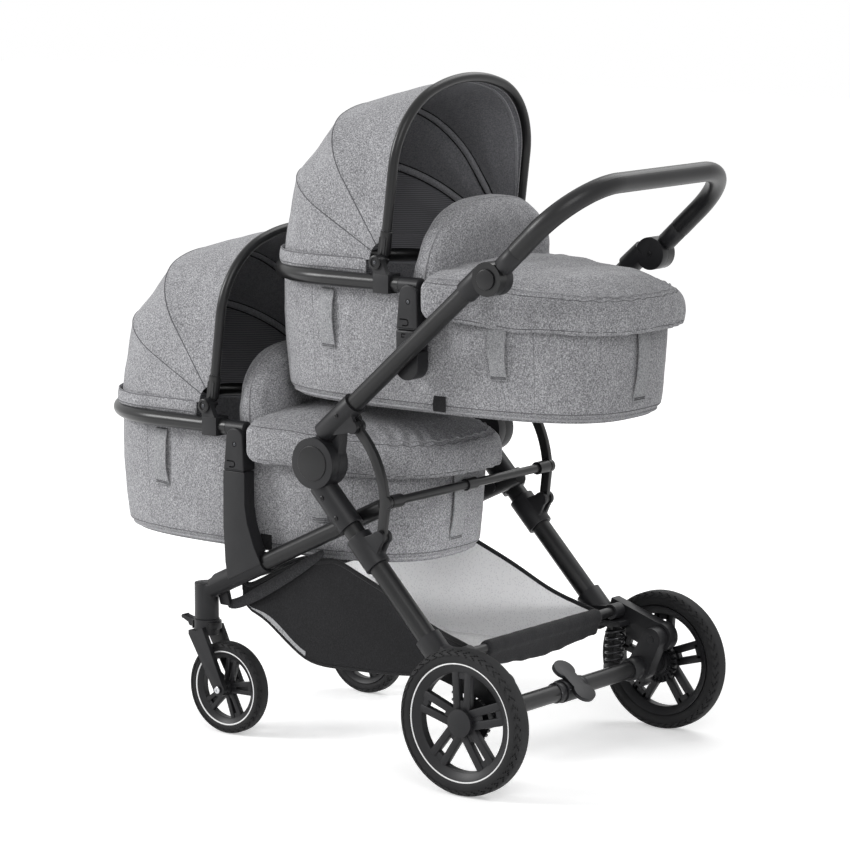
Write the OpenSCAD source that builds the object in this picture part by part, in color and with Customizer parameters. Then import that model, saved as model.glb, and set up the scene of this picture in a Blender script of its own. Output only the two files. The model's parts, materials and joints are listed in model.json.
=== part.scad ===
// Twin pram with two carry cots, one above the other, on a folding frame.
// Millimetres. Forward is -X, the left side is -Y, the floor is Z = 0.
// Side-view points are [x, z] pairs, measured from the rear axle's x.

/* [Wheels] */
// Outer diameter of a rear wheel
rear_wheel_d = 260; // [240:1:280]
// Middle plane of a rear wheel, out from the middle plane of a rear leg
wheel_offset = 64; // [61:1:82]
// Width of a rear tyre
rear_tyre_w = 38; // [30:1:40]
// Height of the rear tyre above its rim
rear_tyre_h = 28; // [22:1:32]
// Outer diameter of a front wheel
front_wheel_d = 172; // [160:1:180]
// Width of a front tyre
front_tyre_w = 30; // [24:1:32]
// Height of the front tyre above its rim
front_tyre_h = 20; // [16:1:24]
// Front axle, distance ahead of the lower hubs
axle_lead = 33; // [13:1:53]
// Radius of the rear stub axles
rear_axle_r = 6; // [5:0.5:8]
// Radius of the front axles
front_axle_r = 5; // [4:0.5:6]
// Slots in each brake ring
brake_slots = 24; // [12:12:24]

/* [Frame] */
// Main hinge, distance ahead of the rear axle
hinge_ahead = 366; // [356:1:376]
// Main hinge, height above the floor
hinge_z = 541; // [531:1:551]
// Radius of the main hinge drums
hinge_r = 46; // [42:1:48]
// Radius of the main hinge pin
hinge_pin_r = 8; // [6:0.5:10]
// Middle plane of the rear legs and upper tubes, out from a tub's side
leg_clear = 60; // [58:1:64]
// Outer radius of the rear leg tubes
leg_r = 18; // [16:0.5:19]
// Slope of the rear legs, below level
leg_slope = 46.4; // [45:0.1:48]
// Outer radius of the upper tubes
tube_r = 16.5; // [14:0.5:17]
// Slope of the upper tubes, above level
tube_slope = 41.35; // [40:0.05:43]
// Wall of every frame tube
tube_wall = 2; // [1.2:0.1:3]
// Length from the main hinge to the handle joint, along the upper tube
tube_length = 520; // [510:1:530]
// Middle plane of the front legs, in from the middle plane of the rear legs
front_leg_inset = 41; // [40.5:0.5:44]
// Outer radius of the front leg tubes
front_leg_r = 16; // [13:0.5:16.2]
// Swivel axis, distance ahead of the front axle
fork_trail = 53; // [45:1:60]
// Radius of the cross bars
cross_bar_r = 9; // [7:0.5:11]

/* [Handle] */
// Length from the handle joint to the middle of the grip
handle_reach = 242; // [230:1:260]
// Slope of the handle, above level
handle_slope = 43; // [38:1:48]
// Bend radius of the handle corners
handle_bend = 120; // [100:1:125]
// Outer radius of the handle tube
handle_tube_r = 14; // [12:0.5:15]
// Thickness of the foam grip
grip_t = 4; // [3:0.5:5]
// Radius of the handle joint drums
handle_drum_r = 30; // [28:1:34]

/* [Cots] */
// Length of a tub over its fabric
tub_length = 741; // [725:1:750]
// Width of a tub over its fabric
tub_width = 376; // [366:1:377]
// Depth of a tub below its rail
tub_depth = 230; // [215:1:232]
// How far the lower cot stands ahead of the upper cot
cot_step_x = 399; // [395:1:410]
// How far the lower cot hangs below the upper cot
cot_step_z = 292; // [288:1:300]
// Height of the upper cot's rail axis above the floor
rail_z = 867; // [863:1:872]
// Upper hubs, distance ahead of the rear axle
hub_ahead = 188; // [184:1:192]
// Radius of the rail tube
rail_r = 14; // [11:0.5:14]
// Depth of the apron's skirt
skirt_depth = 72; // [60:1:76]
// Height of the wind flap above the rail axis
flap_height = 138; // [120:1:145]
// Thickness of the wind flap
flap_t = 22; // [16:1:24]
// Thickness of a mattress at its middle
mattress_t = 44; // [30:1:50]

/* [Canopies] */
// Lean of an open canopy's bow, past upright
bow_lean = 7; // [3:0.5:9]
// Bow at its pivots, out from a tub's side
bow_clear = 12; // [11:0.5:13]
// Straight length of the bow above its pivots
bow_leg = 166; // [150:1:175]
// Bend radius of the bow's shoulders
bow_shoulder_r = 142; // [130:1:150]
// Turn of the bow's shoulders
bow_shoulder_turn = 73; // [68:0.5:78]
// Radius of the bow tube
bow_r = 9; // [7:0.5:9]
// Thickness of the canopy cloth with its lining
canopy_t = 2; // [1.5:0.1:2.2]

/* [Springs and brake] */
// Mean radius of a suspension spring
spring_r = 16; // [13:0.5:17]
// Radius of the spring wire
spring_wire_r = 2.6; // [1.8:0.1:3]
// Turns of a suspension spring
spring_turns = 5.5; // [4:0.5:6]
// Travel of the brake pins
brake_travel = 8; // [7:0.5:8]

/* [Hidden] */
$fn = 64;
// Running clearance of pins, and the gap left between parts that only meet
fit = 0.05;
gap = 0.3;

// Planes counted out from a tub's side
tub_half = tub_width / 2;
leg_y = tub_half + leg_clear;
front_leg_y = leg_y - front_leg_inset;
bow_half = tub_half + bow_clear;
rear_track = 2 * (leg_y + wheel_offset);
wheel_base = hub_ahead + cot_step_x + axle_lead;

// Main points of the side view
rear_axle = [0, rear_wheel_d / 2];
front_axle = [-wheel_base, front_wheel_d / 2];
hinge = [-hinge_ahead, hinge_z];
leg_offset = 27.5;
tube_offset = 34;
leg_dir = [cos(leg_slope), -sin(leg_slope)];
leg_side = [sin(leg_slope), cos(leg_slope)];
tube_dir = [cos(tube_slope), sin(tube_slope)];
tube_side = [-sin(tube_slope), cos(tube_slope)];
// A point s along a rear leg or an upper tube, and p off its axis
function on_leg(s, p = 0) = hinge + leg_dir * s + leg_side * (p - leg_offset);
function on_tube(s, p = 0) = hinge + tube_dir * s + tube_side * (p + tube_offset);
handle_joint = on_tube(tube_length, -17);

// Hinge sleeves and sliders on the rear legs
sleeve_r = leg_r + 6;
sleeve_end = 128;
slider_start = 150;
slider_end = 216;
leg_start = 52;
leg_end = 436;

// Front legs: they turn at the crossing with the rear legs
front_pivot = on_leg(113);
front_pivot_r = 6;
swivel_x = front_axle[0] - fork_trail;
housing_leg_z = 264;
front_slope = atan2(front_pivot[1] - housing_leg_z, front_pivot[0] - swivel_x);
front_dir = [cos(front_slope), sin(front_slope)];
front_reach = norm(front_pivot - [swivel_x, housing_leg_z]);
function on_front(s, p = 0) = front_pivot + front_dir * s + [-front_dir[1], front_dir[0]] * p;
front_tail = 58;
front_sleeve_r = front_leg_r + 4;
front_sleeve_start = 245;
front_bar_at = on_front(-345);

// Forks
housing_r = 22.5;
housing_bottom = 210;
housing_top = 278;
kingpin_r = 8;
crown_r = 24;
crown_bottom = 181;
fork_gap = front_tyre_w / 2 + 5;
fork_arm_t = 11;
lock_pin_r = 3;
lock_pin = [swivel_x - crown_r - 4, 200];
lock_half = 8;

// Fold links between the upper frame and the sliders
link_top = on_tube(106, -33);
link_foot = on_leg(183, 42.6);
link_t = 10;
link_w = 17;
link_pin_r = 4;
link_bend = [link_foot[0] + 7, link_foot[1] + 60];
link_bar_at = [link_bend[0] + 3, link_bend[1] + 3];
link_cheek = [link_t / 2 + 0.6, 14];
link_bar_r = cross_bar_r - 1;

// Layers of the main hinge and of the handle joint, from the centre plane outward
hinge_layers = [leg_y - 19, leg_y + 3.6, leg_y + 4, leg_y + 27];
handle_layers = [leg_y - 17, leg_y + 2, leg_y + 2.3, leg_y + 22];
handle_y = leg_y + 4;
handle_pin_r = 6;
button_r = 18;
button_depth = 6.2;

// Rear suspension
swing_pivot = rear_axle + [27, 55];
swing_pin_r = 7;
swing_layers = [leg_y - 22, leg_y + 4.4];
casing_layers = [leg_y + 5, leg_y + 29];
spring_at = rear_axle + [-60, 0];
spring_y = leg_y - 10;
spring_low = rear_axle[1] - 6;
spring_high = rear_axle[1] + 71;
basket_bar_at = [spring_at[0] + 3, spring_high + 27];
axle_tube_r = 16;
brake_ring_r = 36;
brake_pin_r = 2.2;
brake_angle = -105;
brake_pin_at = rear_axle + brake_ring_r * [cos(brake_angle), sin(brake_angle)];
rear_wheel_y = rear_track / 2;
rear_hub_inner = rear_wheel_y - 25;
brake_pin_tip = rear_hub_inner - 1.5;

// Cots: local zero is the hub's x and the rail's axis height
hub_half = 27;
hub_depth = 77;
hub_top = 12;
hub_outer = tub_half + 41;
hub_inner = tub_half + 12;
rail_y = tub_half + 20;
rail_bend_x = -199;
rail_bend_r = rail_y;
tongue = [22, 12, 26];
tongue_y = rail_y;
tub_mid_x = -29.5;
tub_wall = 5;
tub_straight = 85;
rail_front = rail_bend_x - rail_bend_r - rail_r;
pivot_at = [-73, 37];
clamp_x = -61;
apron_front = -6;
apron_foot = tub_mid_x + tub_length / 2 + 26;
apron_half = tub_width / 2 + 8;
flap_leans = [6, -8];
flap_foot = -20;
canopy_pin_r = 4;
canopy_inner_r = 75;
// Canopy panels: angles above level at the head end, and depth below the bow's axis
rib_rear = 29;
rib_front = 56;
canopy_low = -4;
front_depth = bow_r + 0.35;
mid_depth = front_depth - canopy_t - 1.2;
rear_depth = mid_depth - canopy_t - 1.2;
bow_angle = 90 + bow_lean;
// Layers on the canopy pins, from the centre plane outward
pin_layers = [for (d = [1.5, 6.6, 7, 15, 15.3, 23.6, 24, 36]) tub_half + d];

// The frame's zero is midway between the foremost and rearmost points
front_end = -hub_ahead - cot_step_x + rail_front;
rear_end = handle_joint[0] + handle_reach * cos(handle_slope) + handle_tube_r + grip_t;
frame_x = -(front_end + rear_end) / 2;

black = [0.13, 0.13, 0.14];
charcoal = [0.2, 0.2, 0.21];
rubber = [0.16, 0.16, 0.16];
melange = [0.62, 0.62, 0.63];
lining = [0.3, 0.3, 0.31];

// Placing helpers

module in_frame() {
    translate([frame_x, 0, 0]) children();
}

module both_sides() {
    children();
    mirror([0, 1, 0]) children();
}

// The right side is +Y: side is 1 there and -1 on the left
module on_side(side) {
    if (side > 0) children();
    else mirror([0, 1, 0]) children();
}

// The upper cot is 0 and the lower cot is 1
module in_cot(c) {
    translate([frame_x - hub_ahead - c * cot_step_x, 0, rail_z - c * cot_step_z]) children();
}

// A plate drawn in the side view, from y0 to y1
module side_plate(y0, y1) {
    translate([0, y1, 0]) rotate([90, 0, 0]) linear_extrude(y1 - y0) children();
}

// A round bar across the pram at a side-view point
module cross_rod(p, r, y0, y1) {
    translate([p[0], y0, p[1]]) rotate([-90, 0, 0]) cylinder(r = r, h = y1 - y0);
}

// A round bar between two side-view points, at one y
module side_rod(p, q, y, r) {
    translate([p[0], y, p[1]])
        rotate([0, 90 - atan2(q[1] - p[1], q[0] - p[0]), 0]) cylinder(r = r, h = norm(q - p));
}

// A straight tube between two side-view points
module side_tube(p, q, y, r) {
    along = (q - p) / norm(q - p);
    difference() {
        side_rod(p, q, y, r);
        side_rod(p - along, q + along, y, r - tube_wall);
    }
}

// A side-view web between two points, w0 wide at the first and w1 at the second
module web(p, q, w0, w1) {
    along = (q - p) / norm(q - p);
    across = [-along[1], along[0]];
    polygon([p + across * w0 / 2, q + across * w1 / 2, q - across * w1 / 2, p - across * w0 / 2]);
}

module disc(p, r) {
    translate(p) circle(r);
}

// Lofted solids: each ring is a closed list of 3-D points, all of one length

function flat(lists) = [for (l = lists) each l];

module loft(rings) {
    n = len(rings[0]);
    last = len(rings) - 1;
    sides = [for (i = [0 : last - 1], j = [0 : n - 1])
        let (a = i * n + j, b = i * n + (j + 1) % n, c = a + n, d = b + n)
        each [[a, d, b], [a, c, d]]];
    low = (last + 1) * n;
    caps = [for (j = [0 : n - 1]) each [[low, j, (j + 1) % n],
        [low + 1, last * n + (j + 1) % n, last * n + j]]];
    polyhedron(concat(flat(rings), [middle(rings[0]), middle(rings[last])]), concat(sides, caps));
}

function middle(ring) = [for (k = [0 : 2]) sum([for (p = ring) p[k]]) / len(ring)];
function sum(v, i = 0) = i == len(v) ? 0 : v[i] + sum(v, i + 1);

function signed_power(v, e) = sign(v) * pow(abs(v), e);

// A rounded plan outline: a and b are half length and half width, e its squareness
function plan_ring(x, a, b, z, e = 3, n = 44) = [for (i = [0 : n - 1]) let (t = 360 * i / n)
    [x + a * signed_power(cos(t), 2 / e), b * signed_power(sin(t), 2 / e), z]];

// Rear chassis

module rear_legs() {
    color(black) in_frame() both_sides() side_tube(on_leg(leg_start), on_leg(leg_end), leg_y, leg_r);
}

module hinge_housings() {
    color(charcoal) in_frame() both_sides() difference() {
        union() {
            cross_rod(hinge, hinge_r, hinge_layers[2], hinge_layers[3]);
            side_rod(on_leg(30), on_leg(sleeve_end), leg_y, sleeve_r);
            cross_rod(hinge, hinge_pin_r, hinge_layers[0], hinge_layers[2] + 1);
            cross_rod(front_pivot, front_pivot_r, front_leg_y - front_leg_r - 3, leg_y - leg_r - fit);
            cross_rod(front_pivot, front_pivot_r + 3, front_leg_y - front_leg_r - 4,
                front_leg_y - front_leg_r - 0.5);
        }
        side_rod(on_leg(leg_start - 1), on_leg(sleeve_end + 1), leg_y, leg_r + fit);
        difference() {
            cross_rod(hinge, hinge_r + 0.8, hinge_layers[0] - 20, hinge_layers[2]);
            cross_rod(hinge, hinge_pin_r, hinge_layers[0] - 21, hinge_layers[2] + 1);
        }
    }
}

module hinge_caps() {
    cap_r = hinge_r - 14;
    cap_t = 2;
    color(black) in_frame() both_sides() translate([hinge[0], hinge_layers[3], hinge[1]])
        rotate([-90, 0, 0]) {
            cylinder(r = cap_r, h = cap_t / 2);
            translate([0, 0, cap_t / 2]) cylinder(r1 = cap_r, r2 = cap_r - cap_t / 2, h = cap_t / 2);
        }
}

module rear_casings() {
    seat_t = 10;
    color(charcoal) in_frame() both_sides() difference() {
        union() {
            side_rod(on_leg(leg_end - 62), on_leg(leg_end + 6), leg_y, sleeve_r);
            side_plate(casing_layers[0], casing_layers[1]) {
                disc(swing_pivot, 27);
                web(on_leg(leg_end - 10, 8), swing_pivot, 58, 50);
            }
            side_plate(spring_y - 20, casing_layers[0] + 1)
                translate(spring_at + [-22, spring_high - rear_axle[1] + gap]) square([46, seat_t]);
            cross_rod(basket_bar_at, cross_bar_r + 5, spring_y - 20, spring_y + 8);
            side_plate(spring_y - 16, spring_y + 8) web(basket_bar_at, on_leg(leg_end - 22), 20, 24);
            cross_rod(swing_pivot, swing_pin_r, swing_layers[0] - 1, casing_layers[0] + 1);
        }
        side_rod(on_leg(leg_end - 63), on_leg(leg_end + gap), leg_y, leg_r + fit);
        translate([spring_at[0], spring_y, spring_low])
            cylinder(r = spring_r + spring_wire_r + 2, h = spring_high - spring_low + gap);
    }
}

module basket_bar() {
    half = spring_y - 20 - gap;
    color(black) in_frame() difference() {
        cross_rod(basket_bar_at, cross_bar_r, -half, half);
        cross_rod(basket_bar_at, cross_bar_r - tube_wall, -half - 1, half + 1);
    }
}

// The basket hangs like a hammock: each station is [x, floor height, rim height, half width]
basket_half = front_leg_y - front_leg_r - 6;
basket_wall = 3;
basket_stations = [
    [front_bar_at[0] + cross_bar_r + 0.5, front_bar_at[1] - 1.5, front_bar_at[1] + 4, basket_half - 4],
    [-570, 196, on_front(-290)[1] - 26, basket_half],
    [-500, 160, on_front(-215)[1] - 24, basket_half],
    [-420, 138, on_front(-125)[1] - 22, basket_half],
    [-340, 134, 352, basket_half],
    [-270, 138, 322, basket_half],
    [-200, 148, 288, basket_half + 4],
    [-135, 168, 258, basket_half + 8],
    [basket_bar_at[0] - cross_bar_r - gap, basket_bar_at[1] - 1.5, basket_bar_at[1] + 4, basket_half + 12]];

function basket_section(s) = let (x = s[0], low = s[1], top = s[2], b = s[3], t = basket_wall,
    r = min(18, (top - low) / 3))
    [[x, -b, top], [x, -b + 2, low + r], [x, -b + r, low], [x, 0, low - 3], [x, b - r, low],
     [x, b - 2, low + r], [x, b, top], [x, b - t, top], [x, b - 2 - t, low + r], [x, b - r - t, low + t],
     [x, 0, low - 3 + t], [x, -b + r + t, low + t], [x, -b + 2 + t, low + r], [x, -b + t, top]];

module basket() {
    rings = [for (s = basket_stations) basket_section(s)];
    n = len(rings[0]);
    last = len(rings) - 1;
    half = n / 2;
    walls = [for (i = [0 : last - 1], j = [0 : n - 1])
        let (a = i * n + j, b = i * n + (j + 1) % n, c = a + n, d = b + n)
        each [[a, d, b], [a, c, d]]];
    // End strips join the outer half of a section to its inner half
    ends = [for (j = [0 : half - 2]) let (a = j, b = j + 1, c = n - 1 - j, d = n - 2 - j, e = last * n)
        each [[a, b, d], [a, d, c], [e + a, e + d, e + b], [e + a, e + c, e + d]]];
    color(black) in_frame() polyhedron(flat(rings), concat(walls, ends));
}

// Suspension springs: one unbroken wire with straight ends

function coil_points(low, high, turns, r, wire) = let (lead = 2 * wire, steps = turns * 8)
    concat([[r, 0, low]],
        [for (i = [0 : steps]) let (t = 360 * i / 8)
            [r * cos(t), r * sin(t), low + lead + (high - low - 2 * lead) * i / steps]],
        [[r * cos(360 * turns), r * sin(360 * turns), high]]);

function unit(v) = v / norm(v);

// A wire of six sides along points
function wire_rings(pts, wire) = [for (i = [0 : len(pts) - 1])
    let (t = i == 0 || i == len(pts) - 1 ? [0, 0, 1] : unit(pts[i + 1] - pts[i - 1]),
        out = unit([pts[i][0], pts[i][1], 0]), u = unit(out - t * (out * t)), v = cross(t, u))
    [for (k = [0 : 5]) pts[i] + wire * (cos(60 * k) * u + sin(60 * k) * v)]];

spring_path = coil_points(spring_low, spring_high, spring_turns, spring_r, spring_wire_r);
spring_least_gap = min([for (i = [0 : len(spring_path) - 6], j = [i + 5 : len(spring_path) - 1])
    norm(spring_path[i] - spring_path[j])]) - 2 * spring_wire_r;
echo(spring_least_gap = spring_least_gap);

module suspension_springs() {
    color("silver") in_frame() both_sides() translate([spring_at[0], spring_y, 0])
        loft(wire_rings(spring_path, spring_wire_r));
}

// Rear axle

module swing_arms() {
    y0 = swing_layers[0];
    y1 = swing_layers[1];
    lug_y = brake_pin_tip - 12;
    color(charcoal) in_frame() both_sides() difference() {
        union() {
            side_plate(y0, y1) {
                disc(swing_pivot, 21);
                disc(rear_axle, 25);
                web(swing_pivot, rear_axle, 40, 48);
                web(rear_axle, [spring_at[0] + 8, spring_low - 8], 30, 16);
            }
            translate([spring_at[0], spring_y, spring_low - 10 - gap]) cylinder(r = spring_r + 5, h = 10);
            cross_rod(rear_axle, 21, y0 - 16, y0 + 1);
            cross_rod(rear_axle, 20, y1 - 1, rear_hub_inner - 4);
            cross_rod(rear_axle, rear_axle_r, y1 - 1, rear_wheel_y + 16);
            cross_rod(brake_pin_at, 8, y1 - 6, lug_y);
            side_plate(y1 - 6, lug_y) web(rear_axle, brake_pin_at, 26, 14);
        }
        cross_rod(swing_pivot, swing_pin_r + fit, y0 - 1, y1 + 1);
        cross_rod(rear_axle, axle_tube_r + fit, y0 - 17, y0);
        cross_rod(brake_pin_at, brake_pin_r + fit, y1 - 20, lug_y + 1);
        translate([spring_at[0], spring_y, spring_low - gap])
            cylinder(r = spring_r + spring_wire_r + 2, h = spring_high - spring_low);
    }
}

module axle_tube() {
    half = swing_layers[0] - gap;
    color(black) in_frame() difference() {
        cross_rod(rear_axle, axle_tube_r, -half, half);
        cross_rod(rear_axle, axle_tube_r - tube_wall, -half - 1, half + 1);
    }
}

module brake_pedal() {
    ring_r = axle_tube_r + 5;
    ring_half = 24;
    plate_half = 46;
    plate_t = 7;
    lobe_r = 19;
    tilt = 38;
    color(charcoal) in_frame() difference() {
        union() {
            cross_rod(rear_axle, ring_r, -ring_half, ring_half);
            translate([rear_axle[0], 0, rear_axle[1]]) rotate([0, tilt, 0])
                translate([0, 0, axle_tube_r + 1]) linear_extrude(plate_t) {
                    square([2 * (plate_half - lobe_r), 26], center = true);
                    for (s = [-1, 1]) translate([s * (plate_half - lobe_r), 0]) circle(lobe_r);
                }
        }
        cross_rod(rear_axle, axle_tube_r + fit, -ring_half - 1, ring_half + 1);
    }
}

module brake_pin(side) {
    length = 34;
    color("silver") in_frame() on_side(side)
        cross_rod(brake_pin_at, brake_pin_r, brake_pin_tip - length, brake_pin_tip);
}

module brake_pin_left() { brake_pin(-1); }
module brake_pin_right() { brake_pin(1); }

// Wheels: made about the axle, outer face towards +Z, then turned to face outward

module tyre(d, w, h) {
    rim_r = d / 2 - h;
    rotate_extrude() difference() {
        union() {
            translate([d / 2 - w / 2, 0]) circle(w / 2);
            translate([rim_r, -w * 0.4]) square([h - w / 2, w * 0.8]);
        }
        translate([0, -w]) square([rim_r + fit, 2 * w]);
    }
}

// Five pairs of spokes between the hub and the barrel
module spokes(hub_r, barrel_r, t) {
    spread = 10;
    for (i = [0 : 4], s = [-1, 1]) rotate(90 + 72 * i) linear_extrude(t)
        web([hub_r * cos(s * 26) * 0.8, hub_r * sin(s * 26) * 0.8],
            [barrel_r * cos(s * spread), barrel_r * sin(s * spread)], hub_r * 0.38, hub_r * 0.46);
}

module rim(d, w, h, hub_r, bore_r, hub_low, hub_high) {
    rim_r = d / 2 - h;
    barrel = 7;
    difference() {
        union() {
            rotate_extrude() translate([rim_r - barrel, -w * 0.38]) square([barrel, w * 0.76]);
            rotate_extrude() translate([rim_r - barrel - 3, w * 0.38 - 3]) square([barrel + 3, 3]);
            translate([0, 0, hub_low]) cylinder(r = hub_r, h = hub_high - hub_low);
            translate([0, 0, w * 0.1]) spokes(hub_r, rim_r - 3, w * 0.24);
        }
        translate([0, 0, hub_low - 1]) cylinder(r = bore_r + fit, h = hub_high - hub_low - 3);
    }
}

module rear_wheel_place(side) {
    in_frame() on_side(side) translate([rear_axle[0], rear_wheel_y, rear_axle[1]])
        rotate([-90, 0, 0]) children();
}

module rear_tyre(side) {
    color(rubber) rear_wheel_place(side) tyre(rear_wheel_d, rear_tyre_w, rear_tyre_h);
}

module rear_rim(side) {
    ring_in = brake_ring_r - 6;
    ring_t = 8;
    low = rear_hub_inner - rear_wheel_y;
    color(black) rear_wheel_place(side) union() {
        rim(rear_wheel_d, rear_tyre_w, rear_tyre_h, 26, rear_axle_r, low, 20);
        difference() {
            translate([0, 0, low]) cylinder(r = brake_ring_r + 6, h = ring_t + 3);
            translate([0, 0, low - 1]) cylinder(r = rear_axle_r + fit, h = ring_t + 6);
            for (i = [0 : brake_slots - 1]) rotate(-brake_angle + 360 * i / brake_slots)
                translate([ring_in, -brake_pin_r - 0.5, low - 1]) cube([20, 2 * brake_pin_r + 1, ring_t + 1]);
        }
    }
}

module rear_tyre_left() { rear_tyre(-1); }
module rear_tyre_right() { rear_tyre(1); }
module rear_rim_left() { rear_rim(-1); }
module rear_rim_right() { rear_rim(1); }

// Front frame

module front_legs() {
    solid_half = 30;
    front_stop = front_reach - housing_r + 4;
    color(black) in_frame() both_sides() difference() {
        side_rod(on_front(-front_stop), on_front(front_tail), front_leg_y, front_leg_r);
        side_rod(on_front(-front_stop - 1), on_front(-solid_half), front_leg_y, front_leg_r - tube_wall);
        cross_rod(front_pivot, front_pivot_r + fit, front_leg_y - 30, front_leg_y + 30);
    }
}

module front_housings() {
    front_stop = front_reach - housing_r + 4;
    color(charcoal) in_frame() both_sides() difference() {
        union() {
            translate([swivel_x, front_leg_y, housing_bottom])
                cylinder(r = housing_r, h = housing_top - housing_bottom);
            side_rod(on_front(-front_reach), on_front(-front_sleeve_start), front_leg_y, front_sleeve_r);
        }
        side_rod(on_front(-front_stop - gap), on_front(-front_sleeve_start + 1), front_leg_y,
            front_leg_r + fit);
        translate([swivel_x, front_leg_y, housing_bottom - 1]) cylinder(r = kingpin_r + fit, h = 50);
        translate([swivel_x - 60, front_leg_y - 40, housing_top]) cube([60 + housing_r, 80, 40]);
    }
}

module front_crossbar() {
    half = front_leg_y - front_sleeve_r - gap;
    color(black) in_frame() difference() {
        cross_rod(front_bar_at, cross_bar_r, -half, half);
        cross_rod(front_bar_at, cross_bar_r - tube_wall, -half - 1, half + 1);
    }
}

module fork(side) {
    axle_half = fork_gap + fork_arm_t + 2;
    color(charcoal) in_frame() on_side(side) translate([0, front_leg_y, 0]) difference() {
        union() {
            translate([swivel_x, 0, crown_bottom])
                cylinder(r = crown_r, h = housing_bottom - gap - crown_bottom);
            translate([swivel_x, 0, crown_bottom])
                cylinder(r = kingpin_r, h = housing_bottom + 46 - crown_bottom);
            side_plate(-fork_gap - fork_arm_t, fork_gap + fork_arm_t)
                translate([swivel_x - 19, crown_bottom]) square([34, 9]);
            for (s = [-1, 1]) side_plate(s * (fork_gap + fork_arm_t / 2) - fork_arm_t / 2,
                s * (fork_gap + fork_arm_t / 2) + fork_arm_t / 2) {
                web([swivel_x - 2, crown_bottom + 8], front_axle, 36, 24);
                disc(front_axle, 13);
            }
            cross_rod(front_axle, front_axle_r, -axle_half, axle_half);
            for (s = [-1, 1]) cross_rod(front_axle, 7, s * axle_half - 1, s * axle_half + 1);
            for (s = [-1, 1]) side_plate(s * (lock_half + 3) - 2.6, s * (lock_half + 3) + 2.6) {
                disc(lock_pin, 6);
                web(lock_pin, [swivel_x, lock_pin[1]], 12, 16);
            }
            cross_rod(lock_pin, lock_pin_r, -lock_half - 5, lock_half + 5);
        }
        difference() {
            cross_rod(lock_pin, 8.6, -lock_half - 0.4, lock_half + 0.4);
            cross_rod(lock_pin, lock_pin_r, -lock_half - 1, lock_half + 1);
        }
    }
}

module fork_left() { fork(-1); }
module fork_right() { fork(1); }

module swivel_lock(side) {
    tip = lock_pin + [-24, 8];
    color(black) in_frame() on_side(side) translate([0, front_leg_y, 0]) difference() {
        union() {
            cross_rod(lock_pin, 7, -lock_half, lock_half);
            side_plate(-lock_half, lock_half) web(lock_pin + [-2, 0], tip, 11, 6);
            cross_rod(tip, 4, -lock_half, lock_half);
        }
        cross_rod(lock_pin, lock_pin_r + fit, -lock_half - 1, lock_half + 1);
    }
}

module swivel_lock_left() { swivel_lock(-1); }
module swivel_lock_right() { swivel_lock(1); }

module front_wheel_place(side) {
    in_frame() on_side(side) translate([front_axle[0], front_leg_y, front_axle[1]])
        rotate([-90, 0, 0]) children();
}

module front_tyre(side) {
    color(rubber) front_wheel_place(side) tyre(front_wheel_d, front_tyre_w, front_tyre_h);
}

module front_rim(side) {
    hub_half_w = fork_gap - 0.5;
    color(black) front_wheel_place(side) difference() {
        rim(front_wheel_d, front_tyre_w, front_tyre_h, 17, front_axle_r, -hub_half_w, hub_half_w);
        translate([0, 0, -50]) cylinder(r = front_axle_r + fit, h = 100);
    }
}

module front_tyre_left() { front_tyre(-1); }
module front_tyre_right() { front_tyre(1); }
module front_rim_left() { front_rim(-1); }
module front_rim_right() { front_rim(1); }

// Upper frame

arm_sleeve_end = 132;
arm_sleeve_r = tube_r + 5;

module upper_tubes() {
    color(black) in_frame() both_sides() side_tube(on_tube(62), on_tube(tube_length - 42), leg_y, tube_r);
}

module hinge_arms() {
    cheek = link_cheek;
    color(charcoal) in_frame() both_sides() difference() {
        union() {
            cross_rod(hinge, hinge_r, hinge_layers[0], hinge_layers[1]);
            side_plate(hinge_layers[0], hinge_layers[1]) web(hinge + tube_dir * 10, on_tube(64), 66, 44);
            side_rod(on_tube(40), on_tube(arm_sleeve_end), leg_y, arm_sleeve_r);
            for (s = [-1, 1]) side_plate(leg_y + (s > 0 ? cheek[0] : -cheek[1]),
                leg_y + (s > 0 ? cheek[1] : -cheek[0])) {
                disc(link_top, 12);
                web(on_tube(95, -6), link_top, 70, 22);
            }
            cross_rod(link_top, link_pin_r, leg_y - cheek[1], leg_y + cheek[1]);
        }
        side_rod(on_tube(61), on_tube(arm_sleeve_end + 1), leg_y, tube_r + fit);
        cross_rod(hinge, hinge_pin_r + fit, hinge_layers[0] - 1, hinge_layers[1] + 1);
        cross_rod(hinge, hinge_r + 0.8, hinge_layers[1], hinge_layers[3] + 20);
    }
}

module handle_housings() {
    sleeve = tube_r + 4;
    color(charcoal) in_frame() both_sides() difference() {
        union() {
            cross_rod(handle_joint, handle_drum_r, handle_layers[0], handle_layers[1]);
            side_rod(on_tube(tube_length - 62), on_tube(tube_length - 14), leg_y, sleeve);
            cross_rod(handle_joint, handle_pin_r, handle_layers[1] - 1, handle_layers[3] - button_depth - 2);
        }
        side_rod(on_tube(tube_length - 63), on_tube(tube_length - 42 + gap), leg_y, tube_r + fit);
        difference() {
            cross_rod(handle_joint, handle_drum_r + 1, handle_layers[1], handle_layers[3] + 20);
            cross_rod(handle_joint, handle_pin_r, handle_layers[1] - 1, handle_layers[3] + 21);
        }
    }
}

// Sockets that take the upper adapters, on the inner face of each upper tube
socket_top = rail_z - hub_depth - 38;
socket_drop = 51;
socket_half = 25;
peg_r = 9;
peg_h = 8;
socket_y = (hub_inner + leg_y - tube_r) / 2;

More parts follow.
